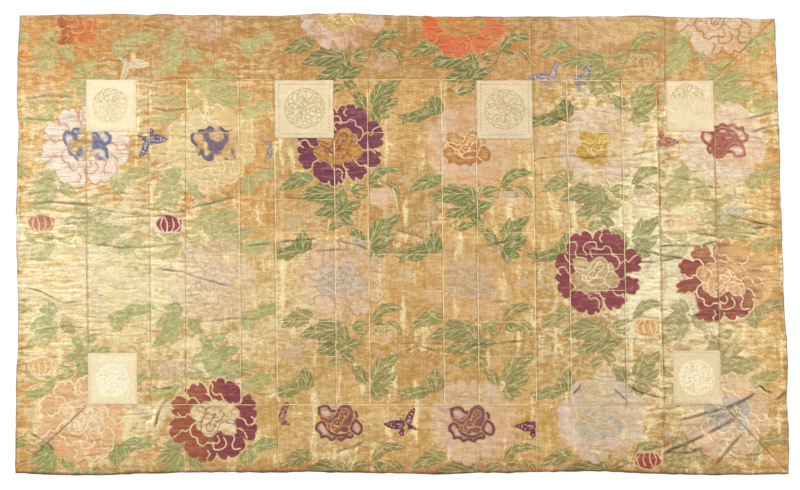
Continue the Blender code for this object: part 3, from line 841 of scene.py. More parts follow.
# ---- the butterfly between two peonies, in metres about its body
def butterfly_chart():
    c = Chart(-0.060, 0.042, -0.042, 0.052, 0.0008)
    gx, gz = c.gx, c.gz
    wings = [
        curve([(-0.002, 0.004), (0.002, 0.018), (0.010, 0.033), (0.022, 0.043), (0.026, 0.038), (0.023, 0.026),
               (0.019, 0.012), (0.014, 0.001), (0.005, -0.002), (-0.002, 0.004)], 6),
        curve([(0.001, 0.002), (-0.010, 0.009), (-0.024, 0.012), (-0.040, 0.008), (-0.054, 0.001), (-0.042, -0.007),
               (-0.026, -0.013), (-0.012, -0.012), (-0.001, -0.005), (0.001, 0.002)], 6),
        curve([(0.008, -0.001), (0.018, -0.002), (0.024, -0.006), (0.030, -0.015), (0.019, -0.013), (0.009, -0.010),
               (0.008, -0.001)], 6),
        curve([(-0.012, -0.012), (-0.016, -0.021), (-0.011, -0.030), (-0.004, -0.028), (-0.002, -0.018), (-0.004, -0.010),
               (-0.012, -0.012)], 6),
    ]
    fill = np.full(gx.shape, 9.0)
    parting = np.full(gx.shape, 9.0)
    for w in wings:
        d = to_segments(gx, gz, w, True)
        inside = within(gx, gz, w)
        parting = np.where(inside, d + 0.0004, np.minimum(parting, d + 0.0004))
        fill = np.minimum(fill, np.where(inside, -d, d))
    body = to_segments(gx, gz, curve([(-0.006, 0.010), (0.003, 0.000), (0.011, -0.012)], 6))
    feelers = to_segments(gx, gz, curve([(-0.006, 0.010), (-0.006, 0.018), (-0.002, 0.025)], 6))
    feelers = to_segments(gx, gz, curve([(-0.007, 0.010), (-0.014, 0.016), (-0.021, 0.018)], 6), best=feelers)
    fill = np.minimum(fill, np.minimum(body - 0.0024, feelers - 0.0007))
    # beads along the wings, pale streaks at their roots
    line = np.full(gx.shape, 9.0)
    for x, z, r in ((0.020, 0.036, 0.0011), (0.015, 0.029, 0.0010), (0.019, 0.026, 0.0010), (0.011, 0.021, 0.0010),
                    (-0.044, 0.001, 0.0012), (-0.036, 0.003, 0.0010), (-0.036, -0.003, 0.0010), (-0.028, 0.005, 0.0010),
                    (-0.028, -0.006, 0.0010), (0.022, -0.008, 0.0009), (-0.009, -0.023, 0.0010)):
        line = np.minimum(line, np.maximum(0.0, np.hypot(gx - x, (gz - z) * 1.15) - r))
    for a, b in (((0.004, 0.005), (0.012, 0.018)), ((0.009, 0.003), (0.015, 0.013)), ((-0.008, 0.001), (-0.022, 0.001)),
                 ((-0.006, -0.004), (-0.016, -0.007)), ((0.000, 0.003), (0.008, -0.008))):
        line = to_segments(gx, gz, [a, b], best=line)
    line = np.minimum(line, np.where(fill < -0.002, parting, 9.0))
    c.layers["fill"] = fill
    c.layers["line"] = line
    return c


FLOWER, LEAVES, BUD, BUTTERFLY = flower_chart(), spray_chart(), bud_chart(), butterfly_chart()

# ---- the peonies: view x, y, turned over, outer, second outer, heart rim, heart middle, line, heart line, strength
FLOWERS = [
    (74, 5, 1, "#9E4A2A", "#D8702E", "#C98650", "#C98650", "#DFA466", "#E7B36C", 0.84),
    (204, 6, 1, "#E3B795", "#E8C3A4", "#D29B64", "#D9A774", "#B5744A", "#C98A5A", 0.42),
    (343, 11, 0, "#E6CDBE", "#DFB696", "#CDAE62", "#D6BC7C", "#C09070", "#EFE2B0", 0.66),
    (464, 17, 0, "#D66B3A", "#D07444", "#BE944C", "#C49C58", "#E08C4C", "#DE7A40", 0.95),
    (594, 12, 0, "#E2B991", "#E8C8A4", "#D8AE70", "#DFBA80", "#CF9C68", "#E9CFA0", 0.45),
    (718, 15, 1, "#EFD2B4", "#E9C39C", "#E8C8A0", "#EBD0AA", "#9A6A44", "#9A6A44", 0.72),
    (86, 146, 1, "#FAEDDC", "#F8E7D2", "#64759E", "#E6DED2", "#CE9468", "#6D5F86", 0.88),
    (212, 146, 1, "#ECD59A", "#E8CC8E", "#55557F", "#D6A06A", "#F2E2B2", "#7A5F7C", 0.8),
    (340, 145.5, 0, "#713049", "#79384F", "#C08A44", "#CFA05A", "#E9BE8C", "#75304A", 1.0),
    (470, 147, 0, "#E4BFA4", "#DDB08C", "#BC7A36", "#D9AE72", "#D9A884", "#F0D6A6", 0.66),
    (600, 146, 0, "#E8D0BC", "#E2C2A6", "#C99C36", "#D6B04C", "#D8AE86", "#E9D08A", 0.7),
    (722, 144, 1, "#F2DFC8", "#EFD6BC", "#A4493C", "#F0DAC2", "#DDB692", "#A4493C", 0.74),
    (84, 283, 1, "#F0C284", "#F4DCAC", "#EFDDB6", "#F3E6C6", "#E7C690", "#F4E6BC", 0.45),
    (213, 281, 1, "#E3CBB4", "#E8D0B4", "#DCCBB8", "#E4D4BE", "#CFA47E", "#CFA47E", 0.55),
    (343, 279, 0, "#E2C0A2", "#DCC0A6", "#C9BCAC", "#CFC2B2", "#C79268", "#A98B6C", 0.68),
    (471, 281, 0, "#DDB27E", "#DAB488", "#BBAF9C", "#BDB2A0", "#CFA070", "#C8A47C", 0.5),
    (597, 272, 0, "#8A3C44", "#8E424A", "#C4A878", "#D3BC8C", "#E9C79C", "#F3E0BE", 1.0),
    (720, 281, 1, "#9C4F42", "#DDAE72", "#DDA878", "#E9C494", "#F6DFB4", "#F4E2B4", 1.0),
    (83, 419, 1, "#E9B27C", "#E8AE78", "#F1D0A6", "#F3DAB4", "#FAEABC", "#F8E8BE", 0.80),
    (214, 420, 1, "#A1553C", "#853A42", "#E2CB98", "#EAD7AC", "#F0CC98", "#8E5A48", 1.0),
    (341, 420, 0, "#DDB46A", "#DDB46A", "#6A2E42", "#DDB896", "#E3BE7A", "#D8964C", 0.30),
    (473, 421, 0, "#E2C0A4", "#DFB896", "#6A2E42", "#DDB89C", "#CFA080", "#D8964C", 0.72),
    (601, 419, 0, "#DDCBBF", "#D9C4B0", "#B9B29E", "#C8BCA4", "#D6B48A", "#D9B66C", 0.72),
    (725, 416, 1, "#DDB596", "#E6BF98", "#B4B0AA", "#C4BCB0", "#F6E4B8", "#FBEFC8", 0.78),
]
# where a heart keeps its colour though the petals are faint
FULL_HEARTS = {(86, 146), (212, 146), (341, 420), (473, 421), (722, 144), (470, 147), (600, 146), (343, 11)}
# Hearts whose colour is strong at the rim and pale inside
RIM_HEARTS = {(86, 146), (212, 146), (341, 420), (473, 421), (722, 144)}

# Leaf sprays: view x, y of the peony they belong to, turned over, strength, colour
SPRAYS = []
for fx, fy in ((210, 9), (342, 10), (470, 12), (600, 12)):
    SPRAYS.append((fx, fy, 0, 0.95, "#747640") if fx < 550 else (fx, fy, 0, 0.90, "#908F52"))
for fx, fy in ((210, 145), (340, 145.5), (470.5, 146.5), (600, 146)):
    SPRAYS.append((fx, fy, 0, 0.97, "#7A8147") if fx < 550 else (fx, fy, 0, 0.92, "#8D8B52"))
for fx, fy in ((211, 281), (341, 281), (471.5, 281.5), (601, 279)):
    SPRAYS.append((fx, fy, 0, 0.95, "#8C864C") if fx < 550 else (fx, fy, 0, 0.93, "#958D56"))
for fx, fy in ((211, 419), (341, 420), (473, 421), (601, 419)):
    SPRAYS.append((fx, fy, 0, 0.92, "#837942"))
for fx in (86, 213, 343):
    SPRAYS += [(fx, 146, 1, 0.76, "#AFB778"), (fx, 283, 1, 0.80, "#ACB076"),
               (fx, 420, 1, 0.80, "#98A262"), (fx, 556, 1, 0.88, "#879654")]
for fx in (721, 850):
    SPRAYS += [(fx, 144, 1, 0.84, "#A9AE6E"), (fx, 281, 1, 0.80, "#ABA466"),
               (fx, 417, 1, 0.85, "#99915A"), (fx, 552, 1, 0.80, "#938A52")]
SPRAYS += [(721, 8, 1, 0.6, "#A8A668"), (86, 8, 1, 0.7, "#9AA264"), (213, 8, 1, 0.6, "#A9AE74")]

# Buds: view x, y of the peony they belong to, turned over, colour, line, strength
BUDS = [
    (343, 10, 0, "#DDB68C", "#CFA272", 0.55), (470, 13, 0, "#D9AE80", "#CFA272", 0.55),
    (600, 12, 0, "#E2B070", "#E8C890", 0.40),
    (340, 145.5, 0, "#E9C6AC", "#DDB08C", 0.75), (470.5, 146.5, 0, "#E6C3A4", "#DDB08C", 0.65),
    (600, 146, 0, "#ECD2BC", "#E0BC98", 0.70),
    (341, 281, 0, "#D9A060", "#E9CB90", 0.50), (604.5, 275.5, 0, "#DDA064", "#F3D9A0", 0.90),
    (605, 406.5, 0, "#98402F", "#E9BE92", 1.0), (473, 421, 0, "#A98A50", "#C8A868", 0.3),
    (82.5, 275.5, 1, "#C47A5E", "#F2D2AC", 0.92), (211.5, 278.5, 1, "#963F48", "#F6DDBC", 1.0),
    (721, 276, 1, "#E2A874", "#F3DAA8", 0.70), (84, 420, 1, "#EDB576", "#F8E2B0", 0.80),
    (214, 424, 1, "#E7C5A8", "#D0A27C", 0.75), (725, 553, 1, "#C9A060", "#E8C890", 0.4),
    (84, 146, 1, "#F0CFA4", "#E0B080", 0.5),
]

# Butterflies: view x, y, turned over, colour, spots, strength, from view x, to view x
BUTTERFLIES = [
    (405, 424, 0, "#6A2640", "#D9AE9A", 1.0, 0, 800), (536, 426, 0, "#6A2640", "#D9AE9A", 1.0, 0, 536.2),
    (279.5, 419, 0, "#7A3A48", "#DDB496", 0.92, 278.2, 800),
    (149, 141, 1, "#565A84", "#D9D2C8", 0.92, 0, 800), (274, 146, 1, "#5A628C", "#C8BCB0", 0.75, 0, 273.4),
    (657, 142, 1, "#A04A42", "#E6C6A8", 0.9, 656, 800),
    (549, 78, 0, "#77789A", "#D8C8A8", 0.80, 0, 562), (582, 78, 0, "#77789A", "#D8C8A8", 0.75, 573, 800),
    (130, 65, 1, "#F0DFC0", "#B8A888", 0.80, 0, 800),
    (429, 220, 0, "#93935E", "#D8B880", 0.55, 0, 800), (298, 222, 0, "#96965F", "#D8B880", 0.50, 276, 800),
    (430, 360, 0, "#B0713A", "#E2BE84", 0.62, 0, 800), (297, 353, 0, "#A9743C", "#E2BE84", 0.62, 279, 800),
    (562, 358, 0, "#B08A48", "#E6C88C", 0.50, 0, 800), (560, 222, 0, "#B58A50", "#E6C88C", 0.45, 0, 800),
    (643, 275, 0, "#D0A684", "#B9A28C", 0.62, 0, 656), (669, 275, 1, "#D0A684", "#B9A28C", 0.62, 656, 800),
    (406, 278, 0, "#C9B8A2", "#D9C4A4", 0.40, 0, 800), (536, 283, 0, "#BDB2A4", "#D9C4A4", 0.45, 0, 800),
    (536, 146, 0, "#DDB48C", "#E9CFA4", 0.50, 0, 800), (24, 152, 1, "#E2B484", "#F0D8B0", 0.45, 0, 800),
    (726, 213, 1, "#C9C2B0", "#F0E2C0", 0.55, 0, 800), (734, 345, 1, "#D9AE78", "#F3E0B0", 0.55, 0, 800),
]

ROTATED_LEFT, ROTATED_RIGHT = 274.6, 656.5


def region_of(x, z):
    """1 where the cloth was sewn in upside down: the left part and the right part."""
    xt = at(ROTATED_LEFT, 80.0)[0]
    xb = at(278.2, 404.0)[0]
    left = x < xt + (xb - xt) * (z + 0.17) / -0.84
    xr = at(ROTATED_RIGHT, 80.0)[0]
    return left | (x > xr)


def patch_shift(x, z):
    """Small jumps of the pattern from patch to patch, in metres."""
    sx, sz = np.zeros(x.shape), np.zeros(x.shape)
    rng = np.random.RandomState(17)
    inside = (z < level_seam(TOP_SEAM, x)) & (z > level_seam(BOTTOM_SEAM, x))
    for i in range(13):
        here = inside & (x >= upright_seam(i, z)) & (x < upright_seam(i + 1, z))
        cuts = [] if i % 2 else [level_z(v) for v in (ODD_CROSS if i % 4 == 0 else EVEN_CROSS)]
        bounds = [0.0] + cuts + [-2.0]
        for a, b in zip(bounds, bounds[1:]):
            part = here & (z < a) & (z >= b)
            sx[part] += rng.uniform(-1.3, 1.3) * PX
            sz[part] += rng.uniform(-1.2, 1.2) * PX
    return sx, sz


def motifs(x, z):
    """Every motif's distances, colours and strengths at each point, in metres."""
    n = x.size
    out = {k: np.full(n, 0.03) for k in ("leaf_d", "leaf_own", "bloom_d", "heart_d", "line_d")}
    for k in ("leaf_s", "bloom_s", "leaf_up", "leaf_aside"):
        out[k] = np.zeros(n)
    for k in ("leaf_c", "bloom_c", "heart_c", "line_c"):
        out[k] = np.zeros((n, 3))
    out["leaf_c"][:] = rgb("#7D8F58")
    out["bloom_c"][:] = rgb("#E2C0A4")
    out["heart_c"][:] = rgb("#D9B27C")
    out["line_c"][:] = rgb("#F2DCB0")
    sx, sz = patch_shift(x, z)
    wx = sx + 0.0022 * noise(x / 0.060, z / 0.060, 71) + 0.0007 * noise(x / 0.012, z / 0.012, 72)
    wz = sz + 0.0022 * noise(x / 0.060, z / 0.060, 73) + 0.0007 * noise(x / 0.012, z / 0.012, 74)
    mx, mz = x + wx, z + wz
    turned_over = region_of(x, z)

    # sprays
    for vx, vy, turned, strength, colour in SPRAYS:
        cx, cz = at(vx, vy)
        s = -1.0 if turned else 1.0
        lx, lz = (mx - cx) * s, (mz - cz) * s
        near = LEAVES.holds(lx, lz) & (turned_over == bool(turned))
        if not near.any():
            continue
        idx = np.nonzero(near)[0]
        d = LEAVES.read("fill", lx[idx], lz[idx])
        better = d < out["leaf_d"][idx]
        idx, d = idx[better], d[better]
        out["leaf_d"][idx] = d
        for key, layer in (("leaf_own", "own"), ("leaf_up", "up"), ("leaf_aside", "aside")):
            out[key][idx] = LEAVES.read(layer, lx[idx], lz[idx])
        tone = LEAVES.read("tone", lx[idx], lz[idx])[:, None]
        out["leaf_c"][idx] = rgb(colour)[None, :] * (1.0 + 0.55 * tone)
        out["leaf_s"][idx] = strength

    # peonies
    for row in FLOWERS:
        vx, vy, turned, outer, second, rim, middle, line, heart_line, strength = row
        cx, cz = at(vx, vy)
        s = -1.0 if turned else 1.0
        lx, lz = (mx - cx) * s, (mz - cz) * s
        near = FLOWER.holds(lx, lz)
        if not near.any():
            continue
        idx = np.nonzero(near)[0]
        fx, fz = lx[idx], lz[idx]
        d = FLOWER.read("fill", fx, fz)
        better = d < out["bloom_d"][idx]
        idx, fx, fz, d = idx[better], fx[better], fz[better], d[better]
        heart = FLOWER.read("heart", fx, fz)
        key = (vx, vy)
        side = smooth(0.5 + (fx * s) / 0.10 + 0.35 * noise(x[idx] / 0.03, z[idx] / 0.006, 81))[:, None]
        if key == (720, 281):
            side = smooth(0.24 + (x[idx] - cx + 0.9 * (z[idx] - cz)) / 0.17 + 0.25 * noise(x[idx] / 0.02, z[idx] / 0.012, 81))[:, None]
        petal = rgb(outer) * (1 - side) + rgb(second) * side
        ring = np.exp(-(FLOWER.read("middle", fx, fz) / 0.007) ** 2)[:, None]
        petal = petal * (1.0 - 0.10 * ring)
        out["bloom_d"][idx] = d
        out["bloom_c"][idx] = petal
        inner = FLOWER.read("pale", fx, fz)[:, None]
        if key not in RIM_HEARTS:
            inner = 0.6 * inner + 0.4 * smooth(0.5 + 2.2 * fz / FLOWER_R)[:, None]
        out["heart_c"][idx] = rgb(rim) * (1 - inner) + rgb(middle) * inner
        out["heart_d"][idx] = heart
        curl = FLOWER.read("curl", fx, fz)
        edge = FLOWER.read("line", fx, fz)
        in_curl = (curl < edge)[:, None]
        out["line_d"][idx] = np.minimum(curl, edge)
        out["line_c"][idx] = np.where(in_curl, rgb(heart_line)[None, :], rgb(line)[None, :])
        if key == (720, 281):
            across = 400.0 + (x[idx] - CAM_AT[0]) / PX + 4.0 * noise(x[idx] / 0.018, z[idx] / 0.016, 89)
            down = vy - (z[idx] - cz) / PX
            strength = strength * (1.0 - 0.85 * smooth((699.0 - across) / 6.0) * smooth((down - 291.0) / 6.0))
        full = 0.95 if key in FULL_HEARTS else strength
        if vy < 12 and vx < 100:
            across = 400.0 + (x[idx] - CAM_AT[0]) / PX + 7.0 * noise(x[idx] / 0.022, z[idx] / 0.020, 85)
            strength = strength * smooth((across - 50.0) / 5.0) * smooth((110.0 - across) / 26.0)
            full = strength
        if key in ((600, 146), (722, 144)):
            across = 400.0 + (x[idx] - CAM_AT[0]) / PX + 5.0 * noise(x[idx] / 0.022, z[idx] / 0.020, 87)
            full = full * (1.0 - (0.55 if vx < 700 else 0.15) * smooth((across - vx - 4.0) / 9.0))
        if vx < 220 and vy < 160:
            full = full * (0.16 + 0.84 * smooth(0.62 + 2.6 * noise(x[idx] / 0.013, z[idx] / 0.020, 83)))
        out["bloom_s"][idx] = np.where(heart < 0.0012, full, strength)

    # buds
    for vx, vy, turned, colour, line, strength in BUDS:
        cx, cz = at(vx, vy)
        s = -1.0 if turned else 1.0
        lx, lz = (mx - cx) * s, (mz - cz) * s
        near = BUD.holds(lx, lz) & (turned_over == bool(turned))
        if not near.any():
            continue
        idx = np.nonzero(near)[0]
        d = BUD.read("fill", lx[idx], lz[idx])
        better = d < out["bloom_d"][idx]
        idx, d = idx[better], d[better]
        out["bloom_d"][idx] = d
        out["bloom_c"][idx] = rgb(colour)
        out["bloom_s"][idx] = strength
        out["heart_d"][idx] = 0.02
        out["line_d"][idx] = BUD.read("line", lx[idx], lz[idx])
        out["line_c"][idx] = rgb(line)

    # butterflies
    vxs = (x - CAM_AT[0]) / PX + 400.0
    for vx, vy, turned, colour, spots, strength, v0, v1 in BUTTERFLIES:
        cx, cz = at(vx, vy)
        s = -1.0 if turned else 1.0
        lx, lz = (mx - cx) * s, (mz - cz) * s
        x0, x1 = at(v0, vy)[0], at(v1, vy)[0]
        near = BUTTERFLY.holds(lx, lz) & (x >= x0) & (x <= x1)
        if not near.any():
            continue
        idx = np.nonzero(near)[0]
        d = BUTTERFLY.read("fill", lx[idx], lz[idx])
        better = d < out["bloom_d"][idx]
        idx, d = idx[better], d[better]
        out["bloom_d"][idx] = d
        out["bloom_c"][idx] = rgb(colour)
        out["bloom_s"][idx] = strength
        out["heart_d"][idx] = 0.02
        out["line_d"][idx] = BUTTERFLY.read("line", lx[idx], lz[idx]) + 0.0004
        out["line_c"][idx] = rgb(spots)
    return out


# ---- the ground's colour, a row for each soft patch: view x, y, half widths, colour, share; the pale cream rows at the left and right middle are partly painted highlight, and the narrow brown rows along the bottom hem and along the crease near (640, 386) are painted shade
GROUND = "#D1A967"
TINTS = [
    (400, 42, 430, 40, "#AA7B40", 0.92), (56, 54, 64, 44, "#C6863A", 0.75), (250, 60, 120, 30, "#D39A58", 0.5),
    (740, 50, 60, 50, "#DDA560", 0.55), (560, 60, 90, 24, "#D79E5C", 0.45), (180, 100, 90, 14, "#DA9C54", 0.5),
    (55, 110, 50, 50, "#E2AE62", 0.55), (120, 200, 110, 14, "#DB9440", 0.65), (60, 190, 50, 8, "#D28C3C", 0.5),
    (60, 262, 72, 80, "#FBE2A2", 0.92), (52, 282, 16, 11, "#F0B873", 0.55), (54, 258, 14, 9, "#F2C07E", 0.50),
    (42, 313, 11, 7, "#EFB772", 0.55), (66, 300, 10, 9, "#F3C588", 0.45), (34, 268, 8, 16, "#F2C37E", 0.40), (130, 290, 74, 60, "#FBE6AC", 0.92), (215, 300, 40, 60, "#EFD09A", 0.70),
    (186, 356, 50, 46, "#DDB874", 0.72), (40, 400, 40, 60, "#E6BE70", 0.60), (110, 440, 90, 40, "#E6C07A", 0.50),
    (300, 300, 40, 60, "#EACB90", 0.60), (400, 190, 60, 60, "#CE9F5C", 0.65), (430, 270, 80, 70, "#CC9E5C", 0.80),
    (500, 280, 50, 70, "#CB9F5C", 0.65), (556, 290, 22, 90, "#C9A05C", 0.75), (430, 360, 90, 34, "#BB914E", 0.80),
    (330, 380, 50, 30, "#CBA460", 0.65), (245, 150, 26, 70, "#D9A058", 0.60), (260, 200, 20, 30, "#D28E48", 0.50),
    (450, 104, 34, 40, "#BA8C4A", 0.72), (540, 180, 40, 60, "#E2BC7C", 0.55), (640, 140, 50, 60, "#DFBC7A", 0.62),
    (650, 220, 50, 60, "#F4DFA6", 0.80), (660, 290, 36, 66, "#FAEEC8", 0.90), (684, 308, 13, 14, "#F8E8C0", 0.85), (755, 240, 26, 140, "#DFAC5C", 0.80),
    (720, 330, 50, 30, "#EFD89C", 0.55), (745, 370, 40, 50, "#DFB774", 0.60), (640, 370, 50, 40, "#E6C484", 0.55),
    (400, 440, 420, 34, "#CFA058", 0.62), (345, 448, 40, 26, "#BC9450", 0.70), (560, 450, 80, 26, "#D2A25A", 0.45),
    (730, 440, 60, 36, "#C69858", 0.60), (60, 462, 80, 12, "#D6A356", 0.6), (588, 456, 30, 10, "#B9894A", 0.6), (400, 470, 420, 6, "#BE8646", 0.75),
    (770, 440, 16, 50, "#CF9A50", 0.60), (778, 200, 8, 200, "#CE9650", 0.60), (24, 250, 8, 240, "#D9A458", 0.5),
    (470, 50, 60, 20, "#CE8E4E", 0.4), (20, 300, 6, 160, "#D8A85C", 0.5), (666, 352, 4.6, 60, "#C08A46", 0.75),
    (668, 438, 5, 34, "#AC7A3E", 0.80), (662, 160, 5, 110, "#C08644", 0.85), (676, 448, 16, 8, "#9A7038", 0.70),
    (640, 352, 22, 22, "#CDA058", 0.65), (612, 380, 16, 12, "#F0DDB0", 0.6), (134, 434, 12, 18, "#FCE8B2", 0.75), (735, 184, 12, 20, "#FAE8BE", 0.65),
    (634, 34, 22, 12, "#E9C07C", 0.60), (759, 104, 12, 22, "#C89A56", 0.60), (184, 208, 16, 10, "#D09A50", 0.60),
    (34, 70, 16, 28, "#CF8C38", 0.70), (640, 386, 24, 5, "#B98244", 0.60), (708, 300, 10, 18, "#F4E6BE", 0.5), (780, 300, 5, 160, "#C48E4C", 0.6),
]
# how much the bare gold gleams: view x, y, half widths, share; it sets the gold's metallic amount and how strongly
# cream highlights are painted on it
GLEAMS = [
    (60, 260, 80, 120, 0.85), (150, 250, 90, 110, 0.70), (210, 360, 60, 50, 0.70), (40, 116, 36, 50, 0.50),
    (110, 120, 60, 60, 0.45), (300, 290, 50, 70, 0.45), (640, 250, 60, 130, 0.95), (700, 200, 60, 90, 0.60),
    (590, 110, 50, 40, 0.60), (700, 350, 60, 50, 0.70), (110, 420, 80, 50, 0.70), (640, 400, 60, 60, 0.50),
    (720, 430, 60, 40, 0.60), (400, 200, 200, 90, 0.18), (350, 430, 90, 30, 0.25), (560, 330, 40, 60, 0.5),
    (240, 80, 60, 60, 0.30), (60, 340, 60, 60, 0.6), (760, 120, 30, 40, 0.3),
]


def ground(x, z):
    colour = np.tile(rgb(GROUND), (x.size, 1))
    jx = x + 0.020 * noise(x / 0.07, z / 0.03, 91)
    jz = z + 0.012 * noise(x / 0.07, z / 0.03, 92)
    for vx, vy, rx, ry, tint, share in TINTS:
        cx, cz = at(vx, vy)
        q = ((jx - cx) / (rx * PX)) ** 2 + ((jz - cz) / (ry * PX)) ** 2
        w = (share * np.exp(-0.9 * q ** 1.4))[:, None]
        colour = colour * (1 - w) + rgb(tint) * w
    gleam = np.full(x.size, 0.12)
    for vx, vy, rx, ry, share in GLEAMS:
        cx, cz = at(vx, vy)
        q = ((jx - cx) / (rx * PX)) ** 2 + ((jz - cz) / (ry * PX)) ** 2
        gleam = np.maximum(gleam, share * np.exp(-0.8 * q ** 1.3))
    # each patch was cut from a slightly different part of the bolt
    rng = np.random.RandomState(29)
    inside = (z < level_seam(TOP_SEAM, x)) & (z > level_seam(BOTTOM_SEAM, x))
    for i in range(13):
        here = inside & (x >= upright_seam(i, z)) & (x < upright_seam(i + 1, z))
        cuts = [] if i % 2 else [level_z(v) for v in (ODD_CROSS if i % 4 == 0 else EVEN_CROSS)]
        bounds = [0.0] + cuts + [-2.0]
        for a, b in zip(bounds, bounds[1:]):
            part = here & (z < a) & (z >= b)
            colour[part] *= 1.0 + rng.uniform(-0.10, 0.10)
    return colour, gleam


# ================================================================= meshes
def closed_sheet(name, px, pz, front, back, step, tier=4):
    """A closed sheet on a lattice px, pz (rows by columns): fine in front, coarser behind."""
    rows, cols = px.shape
    assert (rows - 1) % tier == 0 and (cols - 1) % tier == 0, (name, rows, cols)
    n = rows * cols
    coords = [np.stack([px.ravel(), -front.ravel(), pz.ravel()], 1)]
    index = np.arange(n).reshape(rows, cols)
    a, b, c, d = index[:-1, :-1], index[1:, :-1], index[1:, 1:], index[:-1, 1:]
    quads = np.stack([a.ravel(), b.ravel(), c.ravel(), d.ravel()], 1)
    # points kept behind: the rim, and every tier-th one inside
    keep = np.zeros((rows, cols), bool)
    keep[::tier, ::tier] = True
    keep[0, :] = keep[-1, :] = True
    keep[:, 0] = keep[:, -1] = True
    behind = np.full((rows, cols), -1)
    behind[keep] = n + np.arange(keep.sum())
    coords.append(np.stack([px[keep], -back[keep], pz[keep]], 1))
    loops = []
    for i in range(0, rows - 1, tier):
        for j in range(0, cols - 1, tier):
            loop = []
            loop += [behind[i, jj] for jj in (range(j, j + tier) if i == 0 else (j,))]
            loop += [behind[ii, j + tier] for ii in (range(i, i + tier) if j + tier == cols - 1 else (i,))]
            loop += [behind[i + tier, jj] for jj in (range(j + tier, j, -1) if i + tier == rows - 1 else (j + tier,))]
            loop += [behind[ii, j] for ii in (range(i + tier, i, -1) if j == 0 else (i + tier,))]
            loops.append(loop)
    rim = []
    def side(f, g):
        for k in range(len(f) - 1):
            rim.append((f[k], g[k], g[k + 1], f[k + 1]))
    side(index[0, ::-1], behind[0, ::-1])
    side(index[-1, :], behind[-1, :])
    side(index[:, 0], behind[:, 0])
    side(index[::-1, -1], behind[::-1, -1])
    coords = np.concatenate(coords)
    sizes = np.concatenate([np.full(len(quads), 4), np.array([len(l) for l in loops]), np.full(len(rim), 4)])
    corners = np.concatenate([quads.ravel(), np.array([v for l in loops for v in l]), np.array(rim).ravel()])
    mesh = bpy.data.meshes.new(name)
    mesh.vertices.add(len(coords))
    mesh.vertices.foreach_set("co", coords.astype(np.float32).ravel())
    mesh.loops.add(len(corners))
    mesh.loops.foreach_set("vertex_index", corners.astype(np.int32))
    mesh.polygons.add(len(sizes))
    starts = np.concatenate([[0], np.cumsum(sizes)[:-1]])
    mesh.polygons.foreach_set("loop_start", starts.astype(np.int32))
    where = np.concatenate([np.zeros(len(quads)), np.ones(len(loops)), np.zeros(len(rim))])
    mesh.polygons.foreach_set("material_index", where.astype(np.int32))
    mesh.update(calc_edges=True)
    mesh.validate()
    mesh.shade_smooth()
    mesh.set_sharp_from_angle(angle=math.radians(50))
    obj = bpy.data.objects.new(name, mesh)
    bpy.context.scene.collection.objects.link(obj)
    return obj, coords


def put(mesh, name, kind, values):
    attr = mesh.attributes.new(name, kind, "POINT")
    if kind == "FLOAT":
        attr.data.foreach_set("value", values.astype(np.float32))
    else:
        full = np.ones((len(values), 4), np.float32)
        full[:, :3] = values
        attr.data.foreach_set("color", full.ravel())


GRID = 0.0028              # spacing of the fine points in front


def ruled(outer, inner, v):
    (ox, oz), (ix, iz) = outer, inner
    v = v[:, None]
    return ox[None, :] * (1 - v) + ix[None, :] * v, oz[None, :] * (1 - v) + iz[None, :] * v


def count(length, tier=4, grid=GRID):
    return max(tier, int(round(length / grid / tier)) * tier) + 1


HALF_GAP = 0.00002


def piece_lattices():
    """Every cloth piece's plan, as (name, x, z, which edges are free hems, flat size)."""
    out = []
    for i in range(13):
        name = "column_%d" % (i // 2 + 1) if i % 2 == 0 else "strip_%d" % (i // 2 + 1)
        width = SEAMS[i + 1][0] - SEAMS[i][0]
        nu, nv = count(width), count(0.84)
        u, v = np.linspace(0, 1, nu), np.linspace(0, 1, nv)
        tx = SEAMS[i][0] + HALF_GAP + (width - 2 * HALF_GAP) * u
        wb = SEAMS[i + 1][1] - SEAMS[i][1]
        bx = SEAMS[i][1] + HALF_GAP + (wb - 2 * HALF_GAP) * u
        top = (tx, level_seam(TOP_SEAM, tx) - HALF_GAP)
        bottom = (bx, level_seam(BOTTOM_SEAM, bx) + HALF_GAP)
        x, z = ruled(top, bottom, v)
        out.append((name, x, z, None, (0.5 * (width + wb), 0.839)))
    m = HALF_GAP * math.sqrt(2.0)
    for name, edge, a, b, ia, ib, s in (("border_top", TOP_EDGE, TL, TR, ITL, ITR, 1.0),
                                        ("border_bottom", BOTTOM_EDGE, BL, BR, IBL, IBR, -1.0)):
        u, v = np.linspace(0, 1, count(b[0] - a[0])), np.linspace(0, 1, count(0.172))
        ox = a[0] + m + (b[0] - a[0] - 2 * m) * u
        ix = ia[0] + m + (ib[0] - ia[0] - 2 * m) * u
        iz = ia[1] + (ib[1] - ia[1]) * u + s * HALF_GAP
        x, z = ruled((ox, along(edge, ox)), (ix, iz), v)
        if s < 0:
            x, z = x[::-1], z[::-1]
        out.append((name, x, z, "top" if s > 0 else "bottom", (0.5 * (b[0] - a[0] + ib[0] - ia[0]), 0.173)))
    for name, edge, a, b, ia, ib, s in (("border_left", LEFT_EDGE, TL, BL, ITL, IBL, -1.0),
                                        ("border_right", RIGHT_EDGE, TR, BR, ITR, IBR, 1.0)):
        v = np.linspace(0, 1, count(a[1] - b[1]))
        u = np.linspace(0, 1, count(0.172))
        oz = a[1] - m + (b[1] - a[1] + 2 * m) * v
        iz = ia[1] - m + (ib[1] - ia[1] + 2 * m) * v
        ix = ia[0] + (ib[0] - ia[0]) * v + s * HALF_GAP
        x, z = ruled((along(edge, oz), oz), (ix, iz), u)
        x, z = x.T, z.T          # rows run down, columns from the hem inward
        if s > 0:
            x, z = x[:, ::-1], z[:, ::-1]
        out.append((name, x, z, "left" if s < 0 else "right", (0.170, 0.5 * (a[1] - b[1] + ia[1] - ib[1]))))
    return out


def hem_bumps(s, seed):
    """Small unevenness of a hem along its length."""
    return 0.0014 * noise(s / 0.055, s * 0 + seed, 101) + 0.0009 * noise(s / 0.019, s * 0 + seed, 103)


